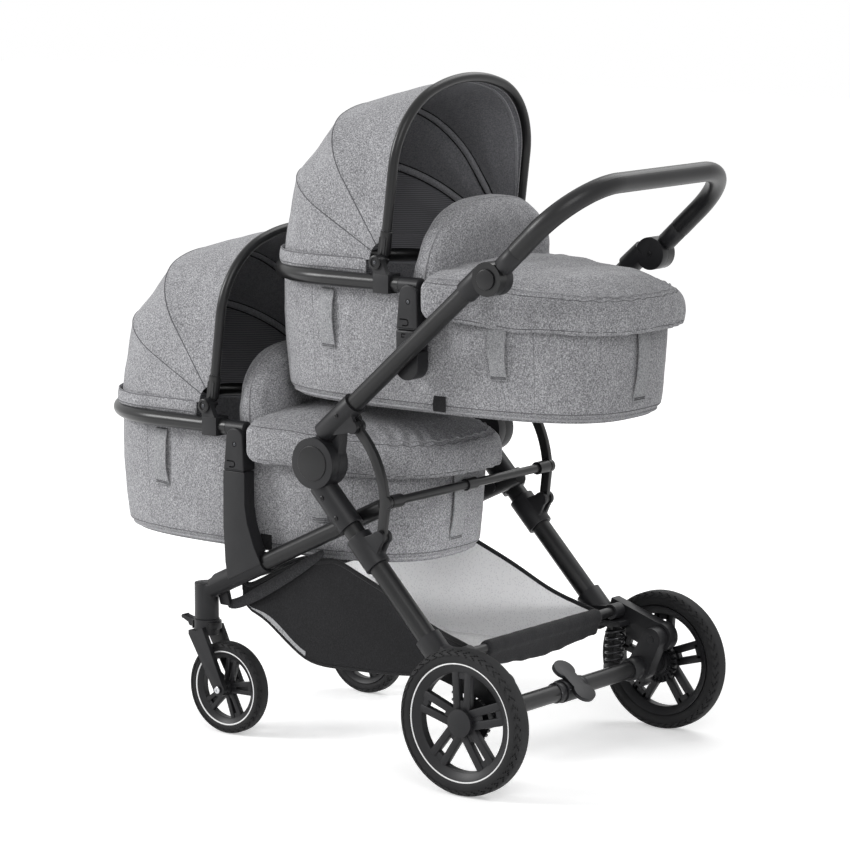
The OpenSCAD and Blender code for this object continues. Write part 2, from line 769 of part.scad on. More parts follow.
module adapter_sockets() {
    y1 = leg_y - tube_r - gap;
    color(charcoal) in_frame() both_sides() difference() {
        side_plate(hub_inner, y1) translate([-hub_ahead, socket_top]) {
            translate([-socket_half, -socket_drop + socket_half])
                square([2 * socket_half, socket_drop - socket_half]);
            translate([0, -socket_drop + socket_half]) circle(socket_half);
        }
        translate([-hub_ahead, socket_y, socket_top - peg_h])
            cylinder(r1 = peg_r - 2.6, r2 = peg_r + 0.6, h = peg_h + 0.01);
    }
}

// The handle hoop lies in one plane: local x runs along its arms
module handle_run(r, start) {
    straight = handle_reach - handle_bend;
    half = handle_y - handle_bend;
    for (s = [-1, 1]) {
        translate([start, s * handle_y, 0]) rotate([0, 90, 0]) cylinder(r = r, h = straight - start);
        translate([straight, s * half, 0]) rotate([0, 0, s > 0 ? 0 : -90])
            rotate_extrude(angle = 90) translate([handle_bend, 0]) circle(r);
    }
    translate([handle_reach, half, 0]) rotate([90, 0, 0]) cylinder(r = r, h = 2 * half);
}

module handle_plane() {
    in_frame() translate([handle_joint[0], 0, handle_joint[1]]) rotate([0, -handle_slope, 0]) children();
}

module handle_tube() {
    y0 = handle_layers[2];
    y1 = handle_layers[3];
    color(black) difference() {
        union() {
            in_frame() both_sides() cross_rod(handle_joint, handle_drum_r, y0, y1);
            handle_plane() handle_run(handle_tube_r, 20);
        }
        handle_plane() handle_run(handle_tube_r - tube_wall, handle_drum_r + 12);
        in_frame() both_sides() {
            cross_rod(handle_joint, handle_drum_r + 1, y0 - 60, y0);
            cross_rod(handle_joint, handle_pin_r + fit, y0 - 1, y1 - button_depth + 1);
            cross_rod(handle_joint, button_r + gap, y1 - button_depth, y1 + 1);
        }
    }
}

module handle_grip() {
    start = 72;
    color(rubber) handle_plane() difference() {
        handle_run(handle_tube_r + grip_t, start);
        handle_run(handle_tube_r + fit, start - 1);
    }
}

module handle_button(side) {
    proud = 4;
    color(black) in_frame() on_side(side)
        cross_rod(handle_joint, button_r, handle_layers[3] - 2, handle_layers[3] + proud);
}

module handle_button_left() { handle_button(-1); }
module handle_button_right() { handle_button(1); }

// Fold links: a flat bar bent at its foot

function curve_point(a, b, c, t) = a * (1 - t) * (1 - t) + b * 2 * t * (1 - t) + c * t * t;
link_mid = [link_bend[0] - 6, link_top[1] - 50];
link_curve = [for (i = [0 : 10]) curve_point(link_top, link_mid, link_bend, i / 10)];
link_path = concat(link_curve, [link_foot]);

function offset_points(path, d) = [for (i = [0 : len(path) - 1])
    let (a = path[max(i - 1, 0)], b = path[min(i + 1, len(path) - 1)], t = (b - a) / norm(b - a))
    path[i] + d * [-t[1], t[0]]];

function reversed(v) = [for (i = [len(v) - 1 : -1 : 0]) v[i]];

module fold_links() {
    color(black) in_frame() both_sides() difference() {
        side_plate(leg_y - link_t / 2, leg_y + link_t / 2) {
            polygon(concat(offset_points(link_path, link_w / 2),
                reversed(offset_points(link_path, -link_w / 2))));
            disc(link_top, 11);
            disc(link_foot, 10);
            disc(link_bar_at, link_bar_r + 4);
        }
        cross_rod(link_top, link_pin_r + fit, leg_y - 20, leg_y + 20);
    }
}

module link_bar() {
    half = leg_y - link_t / 2 - gap;
    color(black) in_frame() {
        cross_rod(link_bar_at, link_bar_r, -half, half);
        for (s = [-1, 1]) cross_rod(link_bar_at, link_bar_r + 4, s * (half - 18) - 16, s * (half - 18) + 16);
        cross_rod(link_bar_at, link_bar_r + 3, -14, 14);
    }
}

module link_sliders() {
    cheek = link_cheek;
    color(charcoal) in_frame() both_sides() difference() {
        union() {
            side_rod(on_leg(slider_start), on_leg(slider_end), leg_y, sleeve_r);
            for (s = [-1, 1]) side_plate(leg_y + (s > 0 ? cheek[0] : -cheek[1]),
                leg_y + (s > 0 ? cheek[1] : -cheek[0])) {
                disc(link_foot, 13);
                web(on_leg(183), link_foot, 56, 24);
            }
        }
        side_rod(on_leg(slider_start - 1), on_leg(slider_end + 1), leg_y, leg_r + fit);
    }
}

// Adapters

module tongue_block() {
    translate([-tongue[0] / 2, tongue_y - tongue[1] / 2, -hub_depth - gap - 1]) cube(tongue + [0, 0, 1]);
}

module upper_adapters() {
    top = -hub_depth - gap;
    low = socket_top - rail_z + gap;
    color(charcoal) in_cot(0) both_sides() {
        translate([-socket_half, hub_inner, low]) cube([2 * socket_half, hub_outer - hub_inner, top - low]);
        tongue_block();
        translate([0, socket_y, low - peg_h + 1]) cylinder(r1 = peg_r - 2.8, r2 = peg_r, h = peg_h);
    }
}

// The tall posts flare to the rear and straddle the front leg sleeves
module lower_adapters() {
    top = rail_z - cot_step_z - hub_depth - gap;
    x = -hub_ahead - cot_step_x;
    foot = on_front(-norm(on_front(0) - [x, on_front(-300)[1]]))[1];
    seat = front_sleeve_r + gap;
    color(charcoal) {
        in_frame() both_sides() difference() {
            side_plate(hub_inner, hub_outer) polygon([[x - 25, top], [x - 26, foot + 90],
                [x - 22, foot + 20], [x - 16, foot - 12], [x + 62, foot + 26], [x + 46, foot + 56],
                [x + 31, foot + 96], [x + 25, foot + 130], [x + 25, top]]);
            side_rod(on_front(-front_reach), on_front(-60), front_leg_y, seat);
        }
        in_cot(1) both_sides() tongue_block();
    }
}

// Cots

module tub() {
    a = tub_length / 2;
    b = tub_width / 2;
    floor_z = -tub_depth;
    top_z = -rail_r - gap;
    rings = [plan_ring(tub_mid_x, a - 30, b - 26, floor_z), plan_ring(tub_mid_x, a - 20, b - 16, floor_z + 6),
        plan_ring(tub_mid_x, a - 14, b - 12, floor_z + 24), plan_ring(tub_mid_x, a, b, -tub_straight),
        plan_ring(tub_mid_x, a, b, top_z), plan_ring(tub_mid_x, a - tub_wall, b - tub_wall, top_z),
        plan_ring(tub_mid_x, a - tub_wall, b - tub_wall, -tub_straight),
        plan_ring(tub_mid_x, a - 20 - tub_wall, b - 16 - tub_wall, floor_z + 10)];
    loft(rings);
}

// Sides drawn in between the corners, and a crowned top
function cushion_ring(a, b, z, crown) = [for (p = plan_ring(tub_mid_x, a, b, 0, 3.4, 40))
    let (u = (p[0] - tub_mid_x) / a, v = p[1] / b, pull = 1 - 0.03 * (1 - u * u) - 0.02 * (1 - v * v))
    [tub_mid_x + (p[0] - tub_mid_x) * pull, p[1] * pull, z + crown * (1 - u * u) * 0.2]];

module mattress() {
    a = tub_length / 2 - 40;
    b = tub_width / 2 - 36;
    low = -tub_depth + 10 + gap;
    top = low + mattress_t;
    loft([cushion_ring(a - 14, b - 14, low, 0), cushion_ring(a - 3, b - 3, low + mattress_t * 0.25, 0),
        cushion_ring(a, b, low + mattress_t * 0.45, 0),
        cushion_ring(a - 4, b - 4, low + mattress_t * 0.65, 0),
        cushion_ring(a - 22, b - 22, top - 6, 0), cushion_ring(a * 0.6, b * 0.6, top - 1, 0),
        cushion_ring(a * 0.25, b * 0.25, top, 0)]);
}

// Apron outline: straight at its front edge, narrowed past the hubs, round at the foot
apron_steps = 26;
skirt_start = hub_half + 10;
apron_neck = tub_width / 2 - 0.5;
function apron_y(x, a, b) = b * pow(1 - pow((x - tub_mid_x) / a, 3), 1 / 3);

function apron_ring(inset, z_neck, z_skirt) = let (a = apron_foot - inset - tub_mid_x, b = apron_half - inset,
    front = apron_front + min(inset, 6) + inset * 0.1, neck = hub_half + 3,
    start = max(skirt_start + 14, neck + inset * 0.3), t1 = acos(pow((start - tub_mid_x) / a, 1.5)),
    round_part = [for (i = [0 : apron_steps]) let (t = t1 * (2 * i / apron_steps - 1))
        [tub_mid_x + a * pow(cos(t), 2 / 3), b * signed_power(sin(t), 2 / 3), z_skirt]],
    narrow = min(apron_neck - inset, apron_y(neck, a, b)))
    concat([[front, -narrow, z_neck], [neck, -narrow, z_neck],
        [skirt_start, -apron_y(skirt_start, a, b), z_skirt]], round_part,
        [[skirt_start, apron_y(skirt_start, a, b), z_skirt], [neck, narrow, z_neck],
        [front, narrow, z_neck]]);

module apron_cover() {
    rim_z = 4;
    t = 3;
    lip_z = rim_z - t - 1;
    pad = 9;
    loft([apron_ring(110, rim_z + 22 - pad, rim_z + 22 - pad),
        apron_ring(40, rim_z + 15 - pad, rim_z + 15 - pad),
        apron_ring(t, rim_z - t, rim_z - t), apron_ring(t, lip_z, -skirt_depth),
        apron_ring(0, lip_z, -skirt_depth), apron_ring(0, rim_z, rim_z),
        apron_ring(10, rim_z + 8, rim_z + 8), apron_ring(40, rim_z + 15, rim_z + 15),
        apron_ring(110, rim_z + 22, rim_z + 22)]);
}

function flap_ring(k, x) = [for (i = [0 : 26]) let (t = 180 * i / 26, w = tub_width / 2 - 16)
    [x, k * w * signed_power(cos(t), 0.72),
        flap_foot + (flap_height - flap_foot) * k * signed_power(sin(t), 0.8)]];

module flap_pad() {
    half = flap_t / 2;
    loft([flap_ring(0.86, -half), flap_ring(0.97, -half * 0.7), flap_ring(1, 0), flap_ring(0.97, half * 0.7),
        flap_ring(0.86, half)]);
}

module apron(c) {
    color(melange) in_cot(c) {
        apron_cover();
        lean = flap_leans[c];
        flap_x = apron_front - 0.5 - flap_t / 2 / cos(lean) - (2 - flap_foot) * tan(lean);
        translate([flap_x, 0, flap_foot]) rotate([0, lean, 0]) translate([0, 0, -flap_foot]) flap_pad();
    }
}

module rail() {
    end_x = -hub_half - gap;
    difference() {
        rail_run(rail_r, end_x);
        rail_run(rail_r - tube_wall, end_x + 1);
    }
}

module rail_run(r, end_x) {
    for (s = [-1, 1]) translate([rail_bend_x, s * rail_y, 0]) rotate([0, 90, 0])
        cylinder(r = r, h = end_x - rail_bend_x);
    translate([rail_bend_x, 0, 0]) rotate([0, 0, 90])
        rotate_extrude(angle = 180) translate([rail_bend_r, 0]) circle(r);
}

module hubs() {
    slack = 0.5;
    inner = tub_width / 2 + gap;
    both_sides() difference() {
        union() {
            side_plate(inner, hub_outer) {
                translate([-hub_half, -hub_depth]) square([2 * hub_half, hub_depth + hub_top - hub_half]);
                translate([0, hub_top - hub_half]) circle(hub_half);
            }
        }
        translate([-tongue[0] / 2 - slack, tongue_y - tongue[1] / 2 - slack, -hub_depth - 1])
            cube([tongue[0] + 2 * slack, tongue[1] + 2 * slack, tongue[2] + 2]);
    }
}

module canopy_clamps() {
    block = [34, 36, 34];
    boss_r = 13;
    both_sides() difference() {
        union() {
            translate([clamp_x - block[0] / 2, rail_y - block[1] / 2, -block[2] / 2]) cube(block);
            side_plate(pin_layers[6], pin_layers[7]) {
                disc(pivot_at, boss_r);
                web([clamp_x, 10], pivot_at, 28, 2 * boss_r - 2);
            }
            cross_rod(pivot_at, canopy_pin_r, pin_layers[0], pin_layers[6] + 1);
        }
        translate([clamp_x - 40, rail_y, 0]) rotate([0, 90, 0]) cylinder(r = rail_r + fit, h = 80);
    }
}

// Canopies: half of the bow's arch as [distance from the pivot axis, y], from the pivot to the top
bow_top_turn = 90 - bow_shoulder_turn;
bow_join = 6;
bow_shoulder_end = [bow_leg + bow_shoulder_r * sin(bow_shoulder_turn),
    bow_half - bow_shoulder_r + bow_shoulder_r * cos(bow_shoulder_turn)];
bow_arc_start = bow_shoulder_end + bow_join * [cos(bow_shoulder_turn), -sin(bow_shoulder_turn)];
bow_top_r = bow_arc_start[1] / cos(bow_shoulder_turn);
bow_top_centre = bow_arc_start[0] - bow_top_r * sin(bow_shoulder_turn);

function arch_half(depth, low) = concat([[low, bow_half - depth]],
    [for (i = [0 : 7]) let (t = bow_shoulder_turn * i / 7, r = bow_shoulder_r - depth)
        [bow_leg + r * sin(t), bow_half - bow_shoulder_r + r * cos(t)]],
    [for (i = [1 : 4]) let (t = bow_shoulder_turn + bow_top_turn * i / 4, r = bow_top_r - depth)
        [bow_top_centre + r * sin(t), i == 4 ? 0 : r * cos(t)]]);

function mirrored(v) = [for (p = v) [p[0], -p[1]]];
function without_last(v) = [for (i = [0 : len(v) - 2]) v[i]];
function arch(depth, low) = let (h = arch_half(depth, low)) concat(h, reversed(mirrored(without_last(h))));

module canopy_panel(depth, from, to) {
    outer = arch(depth, canopy_inner_r);
    inner = arch(depth + canopy_t, canopy_inner_r);
    translate([pivot_at[0], 0, pivot_at[1]]) rotate([-90, 0, 0]) rotate([0, 0, 180 + from])
        rotate_extrude(angle = to - from) polygon(concat(outer, reversed(inner)));
}

// A flat arm from the pivot pin to a panel's edge
module canopy_arm(angle, y0, y1, reach, eye_y0, eye_y1) {
    along = [-cos(angle), sin(angle)];
    both_sides() difference() {
        union() {
            side_plate(y0, y1) web(pivot_at, pivot_at + along * reach, 10, 10);
            side_plate(eye_y0, eye_y1) disc(pivot_at, 10);
        }
        cross_rod(pivot_at, canopy_pin_r + fit, eye_y0 - 1, eye_y1 + 1);
    }
}

module canopy_rear(c) {
    y1 = bow_half - rear_depth;
    color(melange) in_cot(c) {
        canopy_panel(rear_depth, canopy_low, rib_rear);
        canopy_arm((canopy_low + rib_rear) / 2, pin_layers[2], y1, canopy_inner_r + 12, pin_layers[2],
            pin_layers[3]);
    }
}

module canopy_mid(c) {
    y1 = bow_half - mid_depth;
    color(melange) in_cot(c) {
        canopy_panel(mid_depth, rib_rear, rib_front);
        canopy_arm(rib_front - 4, y1 - canopy_t, y1, canopy_inner_r + 12, pin_layers[0], pin_layers[1]);
    }
}

module canopy_front(c) {
    color(melange) in_cot(c) canopy_panel(front_depth, rib_front, bow_angle - 0.4);
}

// The bow's tube has twelve sides along the arch's points
bow_sides = 12;

module bow_tube(foot) {
    path = [for (p = arch(0, foot)) [p[1], p[0]]];
    rings = [for (i = [0 : len(path) - 1]) let (a = path[max(i - 1, 0)], b = path[min(i + 1, len(path) - 1)],
        t = (b - a) / norm(b - a))
        [for (k = [0 : bow_sides - 1]) let (turn = 360 * k / bow_sides, u = bow_r * cos(turn))
            [path[i][0] + u * t[1], path[i][1] - u * t[0], bow_r * sin(turn)]]];
    rotate([90, 0, 90]) loft([for (r = rings) reversed(r)]);
}

module canopy_bow(c) {
    foot = canopy_inner_r - 2;
    lug_end = foot + 14;
    color(black) in_cot(c) {
        translate([pivot_at[0], 0, pivot_at[1]]) rotate([0, bow_lean, 0]) bow_tube(foot);
        both_sides() difference() {
            union() {
                side_plate(pin_layers[4], bow_half + bow_r - 1) web(pivot_at,
                    pivot_at + lug_end * [sin(bow_lean), cos(bow_lean)], 15, 15);
                side_plate(pin_layers[4], pin_layers[5]) disc(pivot_at, 11);
            }
            cross_rod(pivot_at, canopy_pin_r + fit, pin_layers[4] - 1, pin_layers[5] + 1);
        }
    }
}

module upper_tub() { color(melange) in_cot(0) tub(); }
module upper_mattress() { color("white") in_cot(0) mattress(); }
module upper_apron() { apron(0); }
module upper_rail() { color(black) in_cot(0) rail(); }
module upper_hubs() { color(charcoal) in_cot(0) hubs(); }
module upper_canopy_clamps() { color(charcoal) in_cot(0) canopy_clamps(); }
module upper_canopy_rear() { canopy_rear(0); }
module upper_canopy_mid() { canopy_mid(0); }
module upper_canopy_front() { canopy_front(0); }
module upper_canopy_bow() { canopy_bow(0); }
module lower_tub() { color(melange) in_cot(1) tub(); }
module lower_mattress() { color("white") in_cot(1) mattress(); }
module lower_apron() { apron(1); }
module lower_rail() { color(black) in_cot(1) rail(); }
module lower_hubs() { color(charcoal) in_cot(1) hubs(); }
module lower_canopy_clamps() { color(charcoal) in_cot(1) canopy_clamps(); }
module lower_canopy_rear() { canopy_rear(1); }
module lower_canopy_mid() { canopy_mid(1); }
module lower_canopy_front() { canopy_front(1); }
module lower_canopy_bow() { canopy_bow(1); }

rear_legs();
hinge_housings();
hinge_caps();
rear_casings();
basket_bar();
basket();
suspension_springs();
swing_arms();
axle_tube();
brake_pedal();
brake_pin_left();
brake_pin_right();
rear_tyre_left();
rear_tyre_right();
rear_rim_left();
rear_rim_right();
front_legs();
front_housings();
front_crossbar();
fork_left();
fork_right();
swivel_lock_left();
swivel_lock_right();
front_tyre_left();
front_tyre_right();
front_rim_left();
front_rim_right();
upper_tubes();
hinge_arms();
handle_housings();
adapter_sockets();
handle_tube();
handle_grip();
handle_button_left();
handle_button_right();
fold_links();
link_bar();
link_sliders();
upper_adapters();
lower_adapters();
upper_tub();
upper_mattress();
upper_apron();
upper_rail();
upper_hubs();
upper_canopy_clamps();
upper_canopy_rear();
upper_canopy_mid();
upper_canopy_front();
upper_canopy_bow();
lower_tub();
lower_mattress();
lower_apron();
lower_rail();
lower_hubs();
lower_canopy_clamps();
lower_canopy_rear();
lower_canopy_mid();
lower_canopy_front();
lower_canopy_bow();
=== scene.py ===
"""Twin pram with two carrycots, one above the other: cloth, tube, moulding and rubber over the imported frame."""

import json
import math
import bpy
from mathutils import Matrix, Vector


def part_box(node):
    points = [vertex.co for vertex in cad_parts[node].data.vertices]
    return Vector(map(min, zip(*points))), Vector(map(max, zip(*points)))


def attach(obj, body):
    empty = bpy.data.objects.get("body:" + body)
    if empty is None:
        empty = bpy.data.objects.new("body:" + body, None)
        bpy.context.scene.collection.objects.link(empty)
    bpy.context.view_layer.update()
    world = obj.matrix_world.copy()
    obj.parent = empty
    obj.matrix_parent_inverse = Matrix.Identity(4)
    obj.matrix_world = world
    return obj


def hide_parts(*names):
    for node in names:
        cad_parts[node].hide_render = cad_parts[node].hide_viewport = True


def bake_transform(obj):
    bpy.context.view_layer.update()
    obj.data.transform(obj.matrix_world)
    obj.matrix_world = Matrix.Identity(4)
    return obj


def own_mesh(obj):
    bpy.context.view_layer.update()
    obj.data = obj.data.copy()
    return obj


bl_info = {
    "name": "Twin pram",
    "version": (1, 0, 0),
    "blender": (4, 5, 0),
    "location": "View3D > Sidebar > Twin pram",
    "description": "Builds the cloth, trim, tyres and fittings of a twin pram on its packed frame",
    "category": "Object",
}

import bmesh
import bpy
from mathutils import Matrix, Vector
from mathutils.bvhtree import BVHTree

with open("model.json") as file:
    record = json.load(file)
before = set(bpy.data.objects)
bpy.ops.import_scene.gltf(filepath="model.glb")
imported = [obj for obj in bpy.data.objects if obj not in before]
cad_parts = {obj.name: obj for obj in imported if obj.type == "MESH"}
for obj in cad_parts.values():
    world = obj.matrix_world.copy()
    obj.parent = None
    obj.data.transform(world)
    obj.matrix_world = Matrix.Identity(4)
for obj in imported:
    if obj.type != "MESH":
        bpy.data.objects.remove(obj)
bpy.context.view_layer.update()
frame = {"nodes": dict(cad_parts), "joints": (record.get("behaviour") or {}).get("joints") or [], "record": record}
PIVOT = {j["name"]: Vector(j["pos_m"]) for j in frame["joints"] if j.get("pos_m")}
MM = 0.001
SIDES = {"left": -1, "right": 1}
COTS = ("upper", "lower")

# A cot's own sizes in mm, from the middle of its hubs at the height of its rail.
CANOPY_PIVOT = (-73.0, 37.0)
TUB = {"centre": -25.5, "half_length": 374.5, "half_width": 188.0, "top": -15.0, "floor": -230.0}
ARCH = {"half": 200.0, "leg": 166.0, "shoulder": 142.0, "turn": 73.0, "join": 6.0}
BOW_ANGLE = 97.0
# The hubs in metres: middle and outer face from the pram's middle, seam below the rail.
HUB_MIDDLE, HUB_FACE, HUB_SEAM = 0.2086, 0.2288, -0.0776
RIBS = (29.0, 56.0)


# Shared small tools

def linear(colour):
    """Turns an sRGB hex value such as 8d8d90 into the linear colour that a shader takes."""
    channels = [int(colour[i:i + 2], 16) / 255 for i in (0, 2, 4)]
    return [c / 12.92 if c <= 0.04045 else ((c + 0.055) / 1.055) ** 2.4 for c in channels] + [1.0]


def smooth_step(low, high, value):
    """Rises from 0 to 1 between low and high with level ends."""
    t = min(1.0, max(0.0, (value - low) / (high - low)))
    return t * t * (3 - 2 * t)


def waver(*terms):
    """A small steady unevenness between about -1 and 1, for hand-sewn edges and slack cloth."""
    a, b = terms[0], terms[-1]
    return (math.sin(a * 1.7 + 0.6) + math.sin(b * 2.3 + a * 0.9 + 1.9) + math.sin(b * 1.1 - a * 3.1 + 4.2)) / 3


def cot_origin(cot):
    """The point of a cot that its own sizes are counted from."""
    return PIVOT[f"{cot}_canopy_fold"] - Vector((CANOPY_PIVOT[0], 0, CANOPY_PIVOT[1])) * MM


def on_cot(cot, x, y, z):
    """A point of a cot, given in its own millimetres."""
    return cot_origin(cot) + Vector((x, y, z)) * MM


def pick(*pieces):
    """Leaves only these pieces selected, the first of them active."""
    if bpy.context.mode != "OBJECT":
        bpy.ops.object.mode_set(mode="OBJECT")
    bpy.ops.object.select_all(action="DESELECT")
    for piece in pieces:
        piece.select_set(True)
    bpy.context.view_layer.objects.active = pieces[0]


def new_piece(name, points, faces):
    """A new mesh piece at the origin from its points and faces."""
    mesh = bpy.data.meshes.new(name)
    mesh.from_pydata([tuple(p) for p in points], [], faces)
    mesh.update()
    piece = bpy.data.objects.new(name, mesh)
    bpy.context.scene.collection.objects.link(piece)
    return piece


def clean(piece, distance=0.00002):
    """Merges doubled points and turns the faces outwards."""
    pick(piece)
    bpy.ops.object.mode_set(mode="EDIT")
    bpy.ops.mesh.select_all(action="SELECT")
    bpy.ops.mesh.remove_doubles(threshold=distance)
    bpy.ops.mesh.select_all(action="SELECT")
    bpy.ops.mesh.normals_make_consistent(inside=False)
    bpy.ops.object.mode_set(mode="OBJECT")
    return piece


def skin(name, rows, ring=False, cap=False):
    """A piece lofted through rows of points; ring joins each row's ends and cap closes the first and last rows."""
    count = len(rows[0])
    points = [p for row in rows for p in row]
    faces = []
    for i in range(len(rows) - 1):
        for k in range(count if ring else count - 1):
            n = (k + 1) % count
            faces.append((i * count + k, i * count + n, (i + 1) * count + n, (i + 1) * count + k))
    if cap:
        last = (len(rows) - 1) * count
        faces.append(tuple(reversed(range(count))))
        faces.append(tuple(range(last, last + count)))
    return new_piece(name, points, faces)


def apply_modifier(piece, kind, **settings):
    """Adds a modifier with its settings and applies it."""
    pick(piece)
    modifier = piece.modifiers.new(kind.lower(), kind)
    for key, value in settings.items():
        setattr(modifier, key, value)
    bpy.ops.object.modifier_apply(modifier=modifier.name)
    return piece


def round_off(piece, angle=35.0):
    """Smooth shading that keeps edges sharper than the angle."""
    pick(piece)
    bpy.ops.object.shade_smooth_by_angle(angle=math.radians(angle))
    return piece


def dress(piece, materials, body=None):
    """Gives a piece its materials and the body it rides on."""
    for index, material in enumerate(materials):
        if index < len(piece.data.materials):
            piece.data.materials[index] = bpy.data.materials[material]
        else:
            piece.data.materials.append(bpy.data.materials[material])
    if body:
        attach(piece, body)
    return piece


def tube(name, path, radius, sides=8, closed=False, flat=1.0, up=(0, 0, 1)):
    """A thin round or flattened trim swept along a path."""
    rows = []
    count = len(path)
    for i, point in enumerate(path):
        before = path[i - 1] if closed or i else path[0]
        after = path[(i + 1) % count] if closed or i < count - 1 else path[-1]
        along = (after - before).normalized()
        across = along.cross(Vector(up))
        across = across.normalized() if across.length > 1e-4 else along.orthogonal().normalized()
        over = across.cross(along)
        rows.append([
            point + across * (radius * math.cos(2 * math.pi * k / sides))
            + over * (radius * flat * math.sin(2 * math.pi * k / sides)) for k in range(sides)
        ])
    if closed:
        rows.append(rows[0])
    piece = skin(name, rows, ring=True, cap=not closed)
    clean(piece)
    return round_off(piece, 60)


def surface_of(piece):
    """The finished surface of a piece, to lay seams and loops on."""
    mesh = bmesh.new()
    mesh.from_mesh(piece.data)
    tree = BVHTree.FromBMesh(mesh)
    mesh.free()
    return tree


def laid(points, surface, lift):
    """Points moved to the nearest place on a surface and lifted off it."""
    out = []
    for point in points:
        place, normal, _, _ = surface.find_nearest(point)
        out.append(place + normal * lift)
    return out


def join(name, pieces):
    """Joins pieces into one with this name."""
    pick(*pieces)
    if len(pieces) > 1:
        bpy.ops.object.join()
    joined = bpy.context.view_layer.objects.active
    joined.name = name
    joined.data.name = name
    return joined


def copy_to(model, name, matrix):
    """A copy of a modelled piece with its own mesh, moved to its place."""
    twin = bpy.data.objects.new(name, model.data.copy())
    bpy.context.scene.collection.objects.link(twin)
    twin.data.transform(matrix)
    if matrix.determinant() < 0:
        twin.data.flip_normals()
    return twin


def aim(place, direction):
    """The matrix that stands a piece modelled along +Z at a place, pointing in a direction."""
    return Matrix.Translation(place) @ Vector((0, 0, 1)).rotation_difference(Vector(direction)).to_matrix().to_4x4()


def edit(piece):
    """Opens a piece in edit mode with nothing selected and returns its mesh for selecting."""
    pick(piece)
    bpy.ops.object.mode_set(mode="EDIT")
    bpy.ops.mesh.select_mode(type="FACE")
    bpy.ops.mesh.select_all(action="DESELECT")
    return bmesh.from_edit_mesh(piece.data)


def choose_faces(piece, wanted):
    """Selects the faces that a test of centre and normal accepts."""
    shape = bmesh.from_edit_mesh(piece.data)
    for face in shape.faces:
        face.select_set(bool(wanted(face.calc_center_median(), face.normal)))
    shape.select_flush_mode()
    bmesh.update_edit_mesh(piece.data)


def close_edit(piece, angle=35.0):
    """Leaves edit mode, puts the piece's place into its mesh and shades it."""
    bpy.ops.object.mode_set(mode="OBJECT")
    pick(piece)
    bpy.ops.object.transform_apply(location=True, rotation=True, scale=True)
    return round_off(piece, angle)


def start(kind, **settings):
    """Adds one primitive with nothing else selected, puts its place into its mesh and returns it."""
    bpy.ops.object.select_all(action="DESELECT")
    getattr(bpy.ops.mesh, f"primitive_{kind}_add")(**settings)
    piece = bpy.context.object
    bpy.ops.object.transform_apply(location=True, rotation=True, scale=True)
    return piece


def cut(piece, cutter):
    """Cuts one piece's shape out of another and takes the cutter away."""
    apply_modifier(piece, "BOOLEAN", operation="DIFFERENCE", object=cutter, solver="EXACT")
    bpy.data.objects.remove(cutter)


# Materials

def node(tree, kind, links=None, **settings):
    """Adds one node, sets its inputs and properties, and links its inputs from other sockets."""
    made = tree.nodes.new(kind)
    for key, value in settings.items():
        if key in made.inputs:
            made.inputs[key].default_value = value
        else:
            setattr(made, key, value)
    for key, source in (links or {}).items():
        tree.links.new(source, made.inputs[key])
    return made


def new_material(name, roughness, **sockets):
    """An empty material with one shader, ready for its pattern."""
    material = bpy.data.materials.new(name)
    material.use_nodes = True
    tree = material.node_tree
    tree.nodes.clear()
    shader = node(tree, "ShaderNodeBsdfPrincipled", Roughness=roughness)
    for key, value in sockets.items():
        shader.inputs[key.replace("_", " ")].default_value = value
    node(tree, "ShaderNodeOutputMaterial", {"Surface": shader.outputs["BSDF"]})
    place = node(tree, "ShaderNodeTexCoord")
    return material, tree, shader, place.outputs["Object"]


def per_metre(size_mm):
    """The texture scale that gives a pattern of this size."""
    return 1000.0 / size_mm


def woven(name, dark, middle, light, yarn_mm, roughness, sheen, bump):
    """Melange cloth: streaky warp and weft yarns in three tones, a slow drift between dye lots, a fine raised weave."""
    material, tree, shader, place = new_material(
        name, roughness, Sheen_Weight=sheen, Sheen_Roughness=0.5, Specular_IOR_Level=0.2)
    yarns = []
    for stretch, size in (((1.0, 1.0, 0.34), yarn_mm), ((0.45, 0.45, 1.0), yarn_mm), ((1.0, 1.0, 0.35), 30.0)):
        turned = node(tree, "ShaderNodeMapping", {"Vector": place}, Scale=stretch)
        yarns.append(node(tree, "ShaderNodeTexNoise", {"Vector": turned.outputs[0]}, Scale=per_metre(size),
                          Detail=2.0, Roughness=0.6))
    crossed = node(tree, "ShaderNodeMath", {0: yarns[0].outputs[0], 1: yarns[1].outputs[0]}, operation="ADD")
    tone = node(tree, "ShaderNodeMath", {0: yarns[2].outputs[0], 2: crossed.outputs[0]}, operation="MULTIPLY_ADD")
    tone.inputs[1].default_value = 0.12
    spread = node(tree, "ShaderNodeMapRange", {"Value": tone.outputs[0]})
    spread.inputs["From Min"].default_value, spread.inputs["From Max"].default_value = 0.7, 1.46
    ramp = node(tree, "ShaderNodeValToRGB", {"Fac": spread.outputs[0]})
    stops = ramp.color_ramp.elements
    stops.new(0.5)
    for stop, position, colour in zip(stops, (0.18, 0.5, 0.82), (dark, middle, light)):
        stop.position, stop.color = position, linear(colour)
    weave = node(tree, "ShaderNodeTexVoronoi", {"Vector": place}, Scale=per_metre(1.6))
    lumps = node(tree, "ShaderNodeTexNoise", {"Vector": place}, Scale=per_metre(26.0), Detail=2.0)
    height = node(tree, "ShaderNodeMath", {0: weave.outputs["Distance"], 1: lumps.outputs[0]}, operation="ADD")
    raised = node(tree, "ShaderNodeBump", {"Height": height.outputs[0]}, Strength=bump, Distance=0.0006)
    tree.links.new(ramp.outputs["Color"], shader.inputs["Base Color"])
    tree.links.new(raised.outputs["Normal"], shader.inputs["Normal"])
    return material


